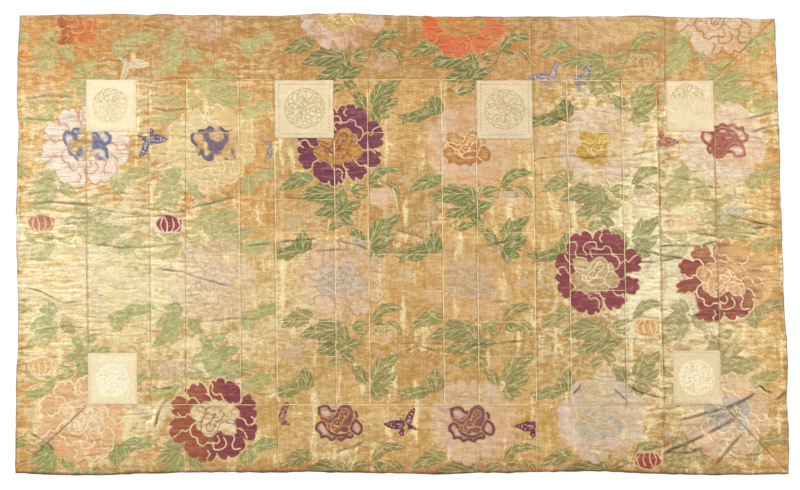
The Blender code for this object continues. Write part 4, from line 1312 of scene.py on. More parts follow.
def all_hems(x, z):
    d = np.minimum(along(TOP_EDGE, x) - z, z - along(BOTTOM_EDGE, x))
    return np.minimum(d, np.minimum(x - along(LEFT_EDGE, z), along(RIGHT_EDGE, z) - x))


# ================================================================= materials
class Nodes:
    """Short helper for building a node tree."""

    def __init__(self, name):
        self.mat = bpy.data.materials.new(name)
        self.mat.use_nodes = True
        self.tree = self.mat.node_tree
        self.shader = self.tree.nodes["Principled BSDF"]

    def node(self, kind, **props):
        n = self.tree.nodes.new(kind)
        for k, v in props.items():
            setattr(n, k, v)
        return n

    def link(self, a, b):
        self.tree.links.new(a, b)

    def attr(self, name):
        return self.node("ShaderNodeAttribute", attribute_name=name)

    def fill(self, socket, value):
        if hasattr(value, "is_linked") or hasattr(value, "links"):
            self.link(value, socket)
        else:
            socket.default_value = value

    def math(self, op, a, b=0.0, clamp=False):
        n = self.node("ShaderNodeMath", operation=op, use_clamp=clamp)
        self.fill(n.inputs[0], a)
        self.fill(n.inputs[1], b)
        return n.outputs[0]

    def ramp(self, value, low, high, to_low=0.0, to_high=1.0, kind="SMOOTHSTEP"):
        n = self.node("ShaderNodeMapRange", interpolation_type=kind)
        self.fill(n.inputs["Value"], value)
        n.inputs["From Min"].default_value = low
        n.inputs["From Max"].default_value = high
        n.inputs["To Min"].default_value = to_low
        n.inputs["To Max"].default_value = to_high
        return n.outputs["Result"]

    def mix(self, factor, a, b, blend="MIX"):
        n = self.node("ShaderNodeMix", data_type="RGBA", blend_type=blend)
        self.fill(n.inputs["Factor"], factor)
        for socket, value in ((n.inputs[6], a), (n.inputs[7], b)):
            if isinstance(value, str):
                socket.default_value = (*rgb(value), 1.0)
            else:
                self.fill(socket, value)
        return n.outputs[2]

    def scaled(self, sx, sy, sz):
        if not hasattr(self, "_coord"):
            self._coord = self.node("ShaderNodeTexCoord")
        m = self.node("ShaderNodeMapping")
        m.inputs["Scale"].default_value = (sx, sy, sz)
        self.link(self._coord.outputs["Object"], m.inputs["Vector"])
        return m.outputs["Vector"]

    def noise(self, sx, sy, sz, detail=2.0, rough=0.5, distort=0.0):
        n = self.node("ShaderNodeTexNoise")
        self.link(self.scaled(sx, sy, sz), n.inputs["Vector"])
        n.inputs["Scale"].default_value = 1.0
        n.inputs["Detail"].default_value = detail
        n.inputs["Roughness"].default_value = rough
        n.inputs["Distortion"].default_value = distort
        return n.outputs["Fac"]


def brocade(name):
    """Gold-grounded brocade: metallic wefts, silk floats for the motifs, worn and stained, with painted highlights on
    the gold and painted shade in the creases, along the seams and at the hems.
    """
    n = Nodes(name)
    s = n.shader
    weft = n.noise(40.0, 20.0, 420.0, 3.0, 0.70)            # fine level threads
    warp = n.noise(400.0, 20.0, 30.0, 2.0, 0.65)            # fine upright threads
    grain = n.noise(230.0, 20.0, 250.0, 2.0, 0.70)
    ragged = n.noise(150.0, 20.0, 300.0, 3.0, 0.65)          # the stepped edge of a woven figure
    edge = n.math("MULTIPLY", n.math("SUBTRACT", ragged, 0.5), 0.0080)

    def cover(attribute, soft=0.0009, shift=0.0):
        d = n.math("ADD", n.attr(attribute).outputs["Fac"], edge)
        return n.ramp(d, shift + soft, shift - soft)

    # ground: painted cream highlights where the gold gleams, stronger on the relief's ridges, and brown where it has
    # worn down to the warp
    base = n.attr("ground_c").outputs["Color"]
    gleam = n.attr("gleam").outputs["Fac"]
    tone = n.attr("tone").outputs["Fac"]
    matte = n.math("SUBTRACT", 1.0, gleam, True)
    cloud = n.noise(17.0, 10.0, 30.0, 3.0, 0.55, 0.5)
    blotch = n.noise(56.0, 10.0, 92.0, 4.0, 0.60, 0.5)
    flake = n.noise(130.0, 20.0, 240.0, 3.0, 0.72)
    level = n.noise(15.0, 10.0, 190.0, 3.0, 0.62, 0.3)
    upright = n.noise(190.0, 10.0, 11.0, 3.0, 0.62, 0.2)
    lit = n.math("ADD", n.math("MULTIPLY", blotch, 0.52), n.math("MULTIPLY", flake, 0.20))
    lit = n.math("ADD", lit, n.math("MULTIPLY", cloud, 0.28))
    lit = n.math("ADD", lit, n.math("MULTIPLY", tone, 0.075))
    lit = n.math("ADD", lit, n.math("MULTIPLY", gleam, 0.035))
    # painted highlight: cream glints on the gleaming gold
    painted_glint = n.math("MULTIPLY", n.ramp(lit, 0.485, 0.590), n.ramp(gleam, 0.05, 0.9, 0.16, 1.0, "LINEAR"), True)
    dark = n.math("MULTIPLY", n.ramp(lit, 0.505, 0.405), n.ramp(gleam, 0.0, 1.0, 0.62, 0.72, "LINEAR"), True)
    base = n.mix(n.math("MULTIPLY", dark, 0.70), base, "#AE7634")
    base = n.mix(n.math("MULTIPLY", painted_glint, 0.94), base, "#FFF5CC")
    streak = n.math("MULTIPLY", n.ramp(n.math("ADD", level, n.math("MULTIPLY", tone, 0.05)), 0.505, 0.425), gleam, True)
    base = n.mix(n.math("MULTIPLY", streak, 0.30), base, "#AC7432")
    # upright streaks in the matte gold: darker warp lines, and lighter ones that are partly painted highlight
    rib = n.math("MULTIPLY", n.ramp(upright, 0.50, 0.40), matte, True)
    base = n.mix(n.math("MULTIPLY", rib, 0.24), base, "#B27238")
    rib2 = n.math("MULTIPLY", n.ramp(upright, 0.56, 0.68), matte, True)
    base = n.mix(n.math("MULTIPLY", rib2, 0.26), base, "#EFD498")

    # upright cream streaks: painted highlights along the soft ridges where the cloth was once folded sharply
    upright_highlight = n.math("ADD", n.noise(30.0, 10.0, 9.0, 3.0, 0.62, 0.4), n.math("MULTIPLY", flake, 0.34))
    upright_highlight = n.math("ADD", upright_highlight, n.math("MULTIPLY", tone, 0.10))
    place = n.node("ShaderNodeSeparateXYZ")
    n.link(n.scaled(1.0, 1.0, 1.0), place.inputs["Vector"])
    below = n.ramp(place.outputs["Z"], -0.15, -0.24, 0.12, 1.0)
    upright_highlight = n.math("MULTIPLY", n.ramp(upright_highlight, 0.735, 0.865), below)
    base = n.mix(n.math("MULTIPLY", upright_highlight, 0.80), base, "#FBE8B0")

    # leaves, with pale veins
    wear = n.math("ADD", n.math("MULTIPLY", n.noise(75.0, 10.0, 150.0, 4.0, 0.66, 0.4), 0.60),
                  n.math("MULTIPLY", n.noise(22.0, 10.0, 34.0, 3.0, 0.6, 0.8), 0.40))
    wear = n.math("ADD", wear, n.math("MULTIPLY", tone, 0.035))
    thin = n.math("MULTIPLY", n.math("SUBTRACT", 1.0, n.attr("leaf_s").outputs["Fac"], True), 0.20)
    worn = n.ramp(n.math("ADD", wear, thin), 0.66, 0.53, 0.30, 1.0)
    leaf = n.math("MULTIPLY", n.math("MULTIPLY", cover("leaf_d"), n.attr("leaf_s").outputs["Fac"]), worn, True)
    leaf_c = n.mix(n.ramp(flake, 0.44, 0.66, 0.0, 0.50), n.attr("leaf_c").outputs["Color"], "#5F5526")
    leaf_c = n.mix(n.ramp(blotch, 0.54, 0.66, 0.0, 0.42), leaf_c, "#D3C27E")
    colour = n.mix(leaf, base, leaf_c)
    # a midrib, veins that sweep forward from it, and a line where one leaf lies over another
    aside = n.math("ABSOLUTE", n.attr("leaf_aside").outputs["Fac"])
    own = n.attr("leaf_own").outputs["Fac"]
    sweep = n.math("SUBTRACT", n.attr("leaf_up").outputs["Fac"], n.math("MULTIPLY", aside, 2.6))
    row = n.math("FRACT", n.math("DIVIDE", sweep, 0.0310))
    row = n.math("MULTIPLY", n.math("ABSOLUTE", n.math("SUBTRACT", row, 0.5)), 0.0310 * 0.36)
    vein = n.math("MAXIMUM", n.ramp(aside, 0.0016, 0.0005), n.math("MULTIPLY", n.ramp(row, 0.0014, 0.0005), 0.80))
    vein = n.math("MULTIPLY", vein, n.ramp(own, -0.0010, -0.0026))
    lap = n.math("MULTIPLY", n.ramp(own, -0.0020, -0.0006), n.ramp(n.attr("leaf_d").outputs["Fac"], -0.0014, -0.0030))
    vein = n.math("MAXIMUM", vein, n.math("MULTIPLY", lap, 0.8))
    vein = n.math("MULTIPLY", n.math("MULTIPLY", vein, leaf), n.ramp(wear, 0.38, 0.58, 0.35, 0.85))
    colour = n.mix(vein, colour, "#E3D69E")

    # petals, hearts and the lines round them
    frail = n.math("MULTIPLY", n.math("SUBTRACT", 1.0, n.attr("bloom_s").outputs["Fac"], True), 0.26)
    kept = n.ramp(n.math("ADD", wear, frail), 0.73, 0.60, 0.30, 1.0)
    bloom = n.math("MULTIPLY", n.math("MULTIPLY", cover("bloom_d"), n.attr("bloom_s").outputs["Fac"]), kept, True)
    # a faint figure is worn away in patches and has turned grey in others
    faint = n.ramp(n.attr("bloom_s").outputs["Fac"], 0.90, 0.60)
    lost = n.math("MULTIPLY", n.ramp(n.noise(15.0, 10.0, 19.0, 4.0, 0.62, 0.4), 0.53, 0.44), faint, True)
    bloom = n.math("MULTIPLY", bloom, n.math("SUBTRACT", 1.0, n.math("MULTIPLY", lost, 0.78)), True)
    grey = n.math("MULTIPLY", n.ramp(n.noise(16.0, 10.0, 12.0, 3.0, 0.6, 0.2), 0.48, 0.58), faint, True)
    bloom_c = n.mix(n.math("MULTIPLY", grey, 0.60), n.attr("bloom_c").outputs["Color"], "#D0C6BC")
    bloom_c = n.mix(n.math("MULTIPLY", n.ramp(level, 0.50, 0.36, 0.0, 0.38), n.math("SUBTRACT", 1.0, faint)), bloom_c, "#5A2A20")
    bloom_c = n.mix(n.math("MULTIPLY", n.ramp(level, 0.52, 0.66, 0.0, 0.34), n.math("SUBTRACT", 1.0, faint)), bloom_c, "#C4826A")
    bloom_c = n.mix(n.ramp(blotch, 0.54, 0.66, 0.0, 0.12), bloom_c, "#E9C79A")
    colour = n.mix(bloom, colour, bloom_c)
    heart = n.math("MULTIPLY", n.math("MULTIPLY", cover("heart_d"), n.attr("bloom_s").outputs["Fac"]),
                   n.ramp(kept, 0.3, 1.0, 0.45, 1.0, "LINEAR"), True)
    heart_c = n.mix(n.ramp(blotch, 0.54, 0.42, 0.0, 0.60), n.attr("heart_c").outputs["Color"], "#C9B08C", "MULTIPLY")
    colour = n.mix(heart, colour, heart_c)
    line_d = n.attr("line_d").outputs["Fac"]
    line = n.math("MULTIPLY", n.ramp(n.math("ADD", line_d, n.math("MULTIPLY", edge, 0.22)), 0.0027, 0.0011),
                  n.ramp(n.attr("bloom_s").outputs["Fac"], 0.0, 1.0, 0.25, 0.92), True)
    inside = n.ramp(n.attr("bloom_d").outputs["Fac"], 0.0026, 0.0010)
    line = n.math("MULTIPLY", n.math("MULTIPLY", line, inside), n.ramp(wear, 0.62, 0.52, 0.35, 1.0), True)
    colour = n.mix(line, colour, n.attr("line_c").outputs["Color"])

    # threads, and painted shade in the creases, along the seams and at the hems
    both = n.math("MULTIPLY", n.ramp(weft, 0.25, 0.75, 0.86, 1.12, "LINEAR"), n.ramp(warp, 0.25, 0.75, 0.94, 1.06, "LINEAR"))
    both = n.math("MULTIPLY", both, n.ramp(grain, 0.25, 0.75, 0.86, 1.11, "LINEAR"))
    colour = n.mix(1.0, colour, both, "MULTIPLY")
    colour = n.mix(n.attr("shade").outputs["Fac"], colour, "#553010")
    n.link(colour, s.inputs["Base Color"])

    silk = n.math("MAXIMUM", leaf, n.math("MAXIMUM", bloom, heart))
    metal = n.math("MULTIPLY", n.ramp(silk, 0.0, 1.0, 1.0, 0.15, "LINEAR"),
                   n.ramp(gleam, 0.0, 1.0, 0.20, 0.46, "LINEAR"))
    n.link(metal, s.inputs["Metallic"])
    rough = n.math("ADD", n.ramp(silk, 0.0, 1.0, 0.40, 0.60, "LINEAR"),
                   n.math("MULTIPLY", n.math("SUBTRACT", flake, 0.5), 0.30))
    n.link(rough, s.inputs["Roughness"])
    s.inputs["Specular IOR Level"].default_value = 0.40
    s.inputs["Sheen Weight"].default_value = 0.08
    s.inputs["Sheen Roughness"].default_value = 0.45

    # relief: threads, raised figures, small crinkles
    bump1 = n.node("ShaderNodeBump")
    bump1.inputs["Strength"].default_value = 0.45
    bump1.inputs["Distance"].default_value = 0.0008
    fine = n.math("ADD", n.math("MULTIPLY", weft, 1.0), n.math("MULTIPLY", warp, 0.5))
    n.link(fine, bump1.inputs["Height"])
    bump2 = n.node("ShaderNodeBump")
    bump2.inputs["Strength"].default_value = 0.75
    bump2.inputs["Distance"].default_value = 0.0030
    small = n.math("ADD", n.noise(60.0, 10.0, 170.0, 4.0, 0.62, 0.5), n.math("MULTIPLY", silk, 0.10))
    n.link(small, bump2.inputs["Height"])
    n.link(bump2.outputs["Normal"], bump1.inputs["Normal"])
    n.link(bump1.outputs["Normal"], s.inputs["Normal"])
    return n.mat


def plain_silk(name, colour, dark, roughness=0.62):
    n = Nodes(name)
    s = n.shader
    weave = n.noise(240.0, 240.0, 620.0, 3.0, 0.6)
    cloud = n.noise(6.0, 6.0, 9.0, 3.0, 0.6)
    c = n.mix(n.ramp(cloud, 0.35, 0.70), colour, dark)
    c = n.mix(n.math("MULTIPLY", weave, 0.35), c, dark)
    n.link(c, s.inputs["Base Color"])
    n.link(n.ramp(weave, 0.2, 0.8, roughness - 0.08, roughness + 0.10, "LINEAR"), s.inputs["Roughness"])
    s.inputs["Sheen Weight"].default_value = 0.15
    bump = n.node("ShaderNodeBump")
    bump.inputs["Strength"].default_value = 0.35
    bump.inputs["Distance"].default_value = 0.0006
    n.link(weave, bump.inputs["Height"])
    n.link(bump.outputs["Normal"], s.inputs["Normal"])
    return n.mat


def square_silk(name):
    """Pale figured silk of the square patches, with its woven roundel."""
    n = Nodes(name)
    s = n.shader
    weft = n.noise(60.0, 20.0, 760.0, 3.0, 0.6)
    warp = n.noise(760.0, 20.0, 60.0, 2.0, 0.6)
    cloud = n.noise(16.0, 10.0, 22.0, 3.0, 0.6)
    base = n.mix(n.ramp(cloud, 0.30, 0.75), n.attr("ground_c").outputs["Color"], n.attr("bloom_c").outputs["Color"])
    figure = n.math("MULTIPLY", n.ramp(n.attr("line_d").outputs["Fac"], 0.0021, 0.0008), n.attr("bloom_s").outputs["Fac"])
    worn = n.ramp(n.noise(120.0, 10.0, 200.0, 3.0, 0.6), 0.30, 0.60, 0.45, 1.0)
    figure = n.math("MULTIPLY", figure, worn, True)
    colour = n.mix(figure, base, n.attr("line_c").outputs["Color"])
    tone = n.math("MULTIPLY", n.ramp(weft, 0.2, 0.8, 0.90, 1.05, "LINEAR"), n.ramp(warp, 0.2, 0.8, 0.93, 1.04, "LINEAR"))
    tone = n.math("MULTIPLY", tone, n.ramp(n.noise(120.0, 20.0, 140.0, 4.0, 0.7), 0.3, 0.7, 0.88, 1.06, "LINEAR"))
    colour = n.mix(1.0, colour, tone, "MULTIPLY")
    # painted shade along the patch's edges
    colour = n.mix(n.math("MULTIPLY", n.attr("shade").outputs["Fac"], 0.55), colour, "#8A6A3C")
    n.link(colour, s.inputs["Base Color"])
    n.link(n.ramp(weft, 0.2, 0.8, 0.50, 0.68, "LINEAR"), s.inputs["Roughness"])
    s.inputs["Metallic"].default_value = 0.06
    s.inputs["Sheen Weight"].default_value = 0.15
    bump = n.node("ShaderNodeBump")
    bump.inputs["Strength"].default_value = 0.40
    bump.inputs["Distance"].default_value = 0.0007
    n.link(n.math("ADD", n.math("ADD", weft, n.math("MULTIPLY", warp, 0.5)), n.math("MULTIPLY", figure, 0.5)), bump.inputs["Height"])
    n.link(bump.outputs["Normal"], s.inputs["Normal"])
    return n.mat


def thread_material(name, colour, dark, side=None):
    n = Nodes(name)
    s = n.shader
    ply = n.noise(500.0, 300.0, 500.0, 2.0, 0.6)
    age = n.noise(18.0, 10.0, 22.0, 3.0, 0.6)
    c = n.mix(n.ramp(age, 0.44, 0.66), colour, dark)
    if side:
        across = n.node("ShaderNodeSeparateXYZ")
        n.link(n.scaled(1.0, 1.0, 1.0), across.inputs["Vector"])
        c = n.mix(n.ramp(n.math("ABSOLUTE", across.outputs["X"]), 0.52, 0.82, 0.0, 0.75), c, side)
    c = n.mix(n.math("MULTIPLY", ply, 0.25), c, dark)
    n.link(c, s.inputs["Base Color"])
    n.link(n.ramp(ply, 0.2, 0.8, 0.52, 0.72, "LINEAR"), s.inputs["Roughness"])
    bump = n.node("ShaderNodeBump")
    bump.inputs["Strength"].default_value = 0.5
    bump.inputs["Distance"].default_value = 0.0004
    n.link(ply, bump.inputs["Height"])
    n.link(bump.outputs["Normal"], s.inputs["Normal"])
    return n.mat


# ================================================================= square patches
def roundel_points(seed, radius):
    """Line work of a round ornament: a ring, a border of small arcs, and scrolling sprigs inside."""
    rng = np.random.RandomState(seed)
    lines = []
    ring = [(radius * math.cos(t), radius * math.sin(t)) for t in np.linspace(0, 2 * math.pi, 73)]
    lines.append(np.array(ring))
    n = 14
    for k in range(n):
        a0, a1 = 2 * math.pi * k / n, 2 * math.pi * (k + 1) / n
        mid = 0.5 * (a0 + a1)
        lines.append(curve([(radius * 0.97 * math.cos(a0), radius * 0.97 * math.sin(a0)),
                            (radius * 0.84 * math.cos(mid), radius * 0.84 * math.sin(mid)),
                            (radius * 0.97 * math.cos(a1), radius * 0.97 * math.sin(a1))], 6))
    for k in range(6):
        a = 2 * math.pi * k / 6 + seed
        c = np.array([0.53 * radius * math.cos(a), 0.53 * radius * math.sin(a)])
        turn = 1 if k % 2 else -1
        spiral = [c + 0.25 * radius * (1 - 0.80 * t) * np.array([math.cos(a + turn * t * 8.0), math.sin(a + turn * t * 8.0)])
                  for t in np.linspace(0, 1, 22)]
        lines.append(np.array(spiral))
        for j in range(3):
            b = a + math.pi / 6 + 0.30 * (j - 1)
            p = radius * (0.62 - 0.10 * abs(j - 1)) * np.array([math.cos(b), math.sin(b)])
            q = radius * (0.84 - 0.05 * abs(j - 1)) * np.array([math.cos(b + 0.10 * (j - 1)), math.sin(b + 0.10 * (j - 1))])
            m = 0.5 * (p + q) + 0.05 * radius * np.array([-math.sin(b), math.cos(b)]) * (1 if j % 2 else -1)
            lines.append(curve([p, m, q], 4))
    for k in range(6):
        a = 2 * math.pi * (k + 0.5) / 6 + seed
        bud = [0.20 * radius * np.array([math.cos(a), math.sin(a)])
               + 0.12 * radius * np.array([math.cos(t), math.sin(t)]) for t in np.linspace(0, 2 * math.pi, 10)]
        lines.append(np.array(bud))
    lines.append(0.07 * radius * np.stack([np.cos(np.linspace(0, 2 * math.pi, 9)), np.sin(np.linspace(0, 2 * math.pi, 9))], 1))
    for k in range(16):
        a = rng.uniform(0, 2 * math.pi)
        r0 = rng.uniform(0.25, 0.80) * radius
        c = r0 * np.array([math.cos(a), math.sin(a)])
        w = rng.uniform(0.05, 0.10) * radius
        lines.append(np.array([c + w * np.array([math.cos(a + t), math.sin(a + t)]) for t in np.linspace(0, 3.6, 8)]))
    return lines


# Squares: centre of the roundel in the view, radius, line colour, strength, cloth colours
SQUARE_LOOKS = {
    "square_1": ((111.0, 106.0), 0.044, "#C2A469", 0.72, "#F8ECC8", "#F4E4BA"),
    "square_2": ((304.8, 108.5), 0.0515, "#B39A68", 0.72, "#EEDCB6", "#E6D0A4"),
    "square_3": ((504.5, 110.0), 0.0515, "#B39A68", 0.70, "#E6D2AE", "#DFC8A0"),
    "square_4": ((687.0, 101.0), 0.043, "#B8975C", 0.70, "#EBD3AA", "#F4E4C0"),
    "square_5": ((113.0, 380.5), 0.041, "#FFFBE2", 0.95, "#F9EBC4", "#F3E0B2"),
    "square_6": ((696.0, 377.5), 0.0435, "#FFF6D6", 0.88, "#E8D2A6", "#EBD6AC"),
}


def make_square(row, material, back_material):
    name, k, a, b, _, _ = row
    side, a, b, top, bottom = square_box(row)
    inset = 0.0013
    grid = 0.0019
    nu, nv = count(0.13 if k in (1, 7) else 0.152, 4, grid), count(top - bottom, 4, grid)
    u, v = np.linspace(0, 1, nu), np.linspace(0, 1, nv)
    zz = top - inset + (bottom - top + 2 * inset) * v
    z = np.repeat(zz[:, None], nu, 1)
    left, right = side(a, z) + inset, side(b, z) - inset
    # hand-cut edges are not quite straight
    wave_l = 0.0008 * noise(z / 0.03, z * 0 + k, 301)
    wave_r = 0.0008 * noise(z / 0.03, z * 0 + k, 303)
    x = left + wave_l + (right - left + wave_r - wave_l) * u[None, :]
    z = z + 0.0007 * noise(x / 0.03, x * 0 + k, 305) * (1 - 2 * v[:, None])
    edge = np.minimum(np.minimum(x - left - wave_l, right + wave_r - x),
                      np.minimum(top - inset - z, z - bottom - inset))
    edge = np.clip(edge, 0.0, None)
    base = relief(x, z) + CLOTH + 0.0004
    roll = np.sqrt(np.clip(1.0 - (1.0 - np.clip(edge / 0.0018, 0, 1)) ** 2, 0, 1))
    quilt = 0.0006 * (1 - np.exp(-edge / 0.006)) * 1.0
    stitched = 0.0
    if name in ("square_2", "square_3"):
        stitched = np.exp(-((edge - 0.0105) / 0.0022) ** 2)
    else:
        stitched = 0.6 * np.exp(-((edge - 0.0065) / 0.0020) ** 2)
    crinkle = 0.00028 * layered(x / 0.016, z / 0.012, 311, 2) + 0.0002 * layered(x / 0.05, z / 0.006, 315, 2)
    crinkle = crinkle + 0.0004 * stitched * noise(x / 0.006 + 3, z / 0.006, 317)
    thick = 0.0003 + (PATCH - 0.0003) * roll + quilt - 0.00045 * stitched + np.maximum(crinkle, -0.0003)
    front = base + np.maximum(thick, 0.0003)
    obj, coords = closed_sheet(name + "_silk", x, z, front, base, grid)
    (vx, vy), radius, line_c, strength, c1, c2 = SQUARE_LOOKS[name]
    cx, cz = at(vx, vy)
    px, pz = coords[:, 0], coords[:, 2]
    wx = 0.0005 * noise(px / 0.006, pz / 0.006, 321)
    wz = 0.0005 * noise(px / 0.006, pz / 0.006, 323)
    lx, lz = px - cx + wx, pz - cz + wz
    d = np.full(lx.shape, 9.0)
    near = np.hypot(lx, lz) < radius + 0.006
    dn = np.full(near.sum(), 9.0)
    for line in roundel_points(k + (0 if "top" in row else 3), radius):
        dn = to_segments(lx[near], lz[near], line, best=dn)
    d[near] = dn
    mesh = obj.data
    n = len(coords)
    fade = np.full(n, strength)
    if name == "square_4":
        fade *= smooth((pz - (cz - 0.004)) / 0.02) * 0.85 + 0.15
    if name == "square_1":
        fade *= 0.55 + 0.45 * smooth((pz - cz) / 0.02)
    put(mesh, "line_d", "FLOAT", d)
    put(mesh, "bloom_s", "FLOAT", fade)
    put(mesh, "line_c", "FLOAT_COLOR", np.tile(rgb(line_c), (n, 1)))
    put(mesh, "ground_c", "FLOAT_COLOR", np.tile(rgb(c1), (n, 1)))
    put(mesh, "bloom_c", "FLOAT_COLOR", np.tile(rgb(c2), (n, 1)))
    # painted shade along the patch's edges
    rim = np.minimum(np.minimum(px - side(a, pz) - inset, side(b, pz) - inset - px),
                     np.minimum(top - inset - pz, pz - bottom - inset))
    put(mesh, "shade", "FLOAT", np.exp(-(np.clip(rim, 0, None) / 0.0014)) * 0.5)
    mesh.materials.append(material)
    mesh.materials.append(back_material)
    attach(obj, "root")
    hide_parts(name)
    return obj


# ================================================================= cords and stitches
def tube(points, radius, sides=5, lift=None):
    """Closed tube along points; returns vertices and faces."""
    p = np.asarray(points, float)
    n = len(p)
    tangent = np.gradient(p, axis=0)
    tangent /= np.linalg.norm(tangent, axis=1)[:, None] + 1e-12
    out = np.array([0.0, -1.0, 0.0])
    across = np.cross(tangent, out)
    across /= np.linalg.norm(across, axis=1)[:, None] + 1e-12
    up = np.cross(across, tangent)
    r = np.broadcast_to(np.asarray(radius, float), (n,))
    verts = []
    for k in range(sides):
        a = 2 * math.pi * k / sides
        verts.append(p + r[:, None] * (math.cos(a) * up + math.sin(a) * across))
    verts = np.stack(verts, 1).reshape(-1, 3)
    faces = []
    for i in range(n - 1):
        for k in range(sides):
            k2 = (k + 1) % sides
            faces.append((i * sides + k, i * sides + k2, (i + 1) * sides + k2, (i + 1) * sides + k))
    faces.append(tuple(range(sides))[::-1])
    faces.append(tuple((n - 1) * sides + k for k in range(sides)))
    return verts, faces


def joined(name, parts, material):
    verts, faces, base = [], [], 0
    for v, f in parts:
        verts.append(v)
        faces += [tuple(i + base for i in face) for face in f]
        base += len(v)
    mesh = bpy.data.meshes.new(name)
    mesh.from_pydata(np.concatenate(verts).tolist(), [], faces)
    mesh.validate()
    mesh.shade_smooth()
    mesh.set_sharp_from_angle(angle=math.radians(60))
    mesh.materials.append(material)
    obj = bpy.data.objects.new(name, mesh)
    bpy.context.scene.collection.objects.link(obj)
    return obj


def surface(x, z):
    height, _, _ = front_height(np.asarray(x, float), np.asarray(z, float))
    return height


def cord_parts():
    """Fine cords that lie along the seams, and the small stitches that hold them."""
    cords, shaded, stitches = [], [], []
    rng = np.random.RandomState(43)
    for x0, z0, x1, z1, kind, i in LINES:
        length = math.hypot(x1 - x0, z1 - z0)
        n = max(4, int(length / 0.0045))
        t = np.linspace(0.002, 0.998, n)
        x, z = x0 + (x1 - x0) * t, z0 + (z1 - z0) * t
        ax, az = (x1 - x0) / length, (z1 - z0) / length
        wob = 0.0006 * noise(t * length / 0.03, t * 0 + 11 * len(cords), 401)
        off = 0.0
        radius = 0.00090
        if kind == "upright":
            radius = 0.00105
        elif kind == "border":
            radius = 0.00050
        elif kind == "mitre":
            radius = 0.00055
            if z0 > -0.5:
                radius = 0.00052
        elif kind == "cross":
            radius = 0.00068
        x, z = x - az * (wob + off), z + ax * (wob + off)
        hide = square_mask(x, z, 0.0015) < 0.999
        lower_left = kind == "mitre" and x0 < 0 and z0 < -0.5
        # a cord lies in its groove, and never comes through the back
        y = np.maximum(surface(x, z) + radius * 0.25, relief(x, z) + 0.0003 + 1.16 * radius)
        # keep the runs that no square patch covers
        run = []
        for k in range(n + 1):
            split = lower_left and k < n and run and t[run[0]] <= 0.28 < t[k]
            if k < n and not hide[k] and not split:
                run.append(k)
            elif run:
                if len(run) > 2:
                    r = np.full(len(run), radius) * (1 + 0.14 * noise(np.array(run) / 2.3, np.zeros(len(run)) + i, 405))
                    r[0] *= 0.5
                    r[-1] *= 0.5
                    # the inner part of the lower left mitre gets a dark cord, a line of painted shade along that seam
                    kept = shaded if lower_left and t[run[0]] > 0.28 else cords
                    kept.append(tube(np.stack([x[run], -y[run], z[run]], 1), r, 5))
                run = [k] if split else []
        if kind in ("upright", "top", "bottom", "cross", "border"):
            pitch = 0.0078
            for s in np.arange(pitch * 0.5, length - 0.002, pitch):
                s = s + rng.uniform(-0.0012, 0.0012)
                side = 1 if rng.rand() < 0.5 else -1
                px, pz = x0 + ax * s - az * (0.0016 * side + off), z0 + az * s + ax * (0.0016 * side + off)
                half = 0.0011
                lean = rng.uniform(-0.3, 0.3)
                dx, dz = -az + ax * lean, ax + az * lean
                xs = px + dx * np.array([-half, 0.0, half])
                zs = pz + dz * np.array([-half, 0.0, half])
                if square_mask(xs, zs, 0.002).min() < 0.999:
                    continue
                stitches.append((xs, zs, 0.00026))
    return cords, shaded, stitches


def square_stitches():
    """Running stitches round the square patches."""
    out = []
    rng = np.random.RandomState(47)
    for row in SQUARES:
        name = row[0]
        side, a, b, top, bottom = square_box(row)
        inset = 0.0118 if name in ("square_2", "square_3") else 0.0066
        pitch = 0.0092 if name in ("square_2", "square_3") else 0.0060
        half = 0.0032 if name in ("square_2", "square_3") else 0.0016
        thick = 0.00060 if name in ("square_2", "square_3") else 0.00036
        zt, zb = top - inset, bottom + inset
        for s in np.arange(0.002, (zt - zb) - 0.002, pitch):
            z = zt - s
            for x in (side(a, z) + inset, side(b, z) - inset):
                x = x + rng.uniform(-0.0005, 0.0005)
                out.append((np.array([x, x, x]), np.array([z - half, z, z + half]), thick, name))
        xl, xr = float(side(a, zt)) + inset, float(side(b, zt)) - inset
        for s in np.arange(0.002, xr - xl - 0.002, pitch):
            for z in (zt, zb):
                z = z + rng.uniform(-0.0005, 0.0005)
                x = xl + s
                out.append((np.array([x - half, x, x + half]), np.array([z, z, z]), thick, name))
    return out


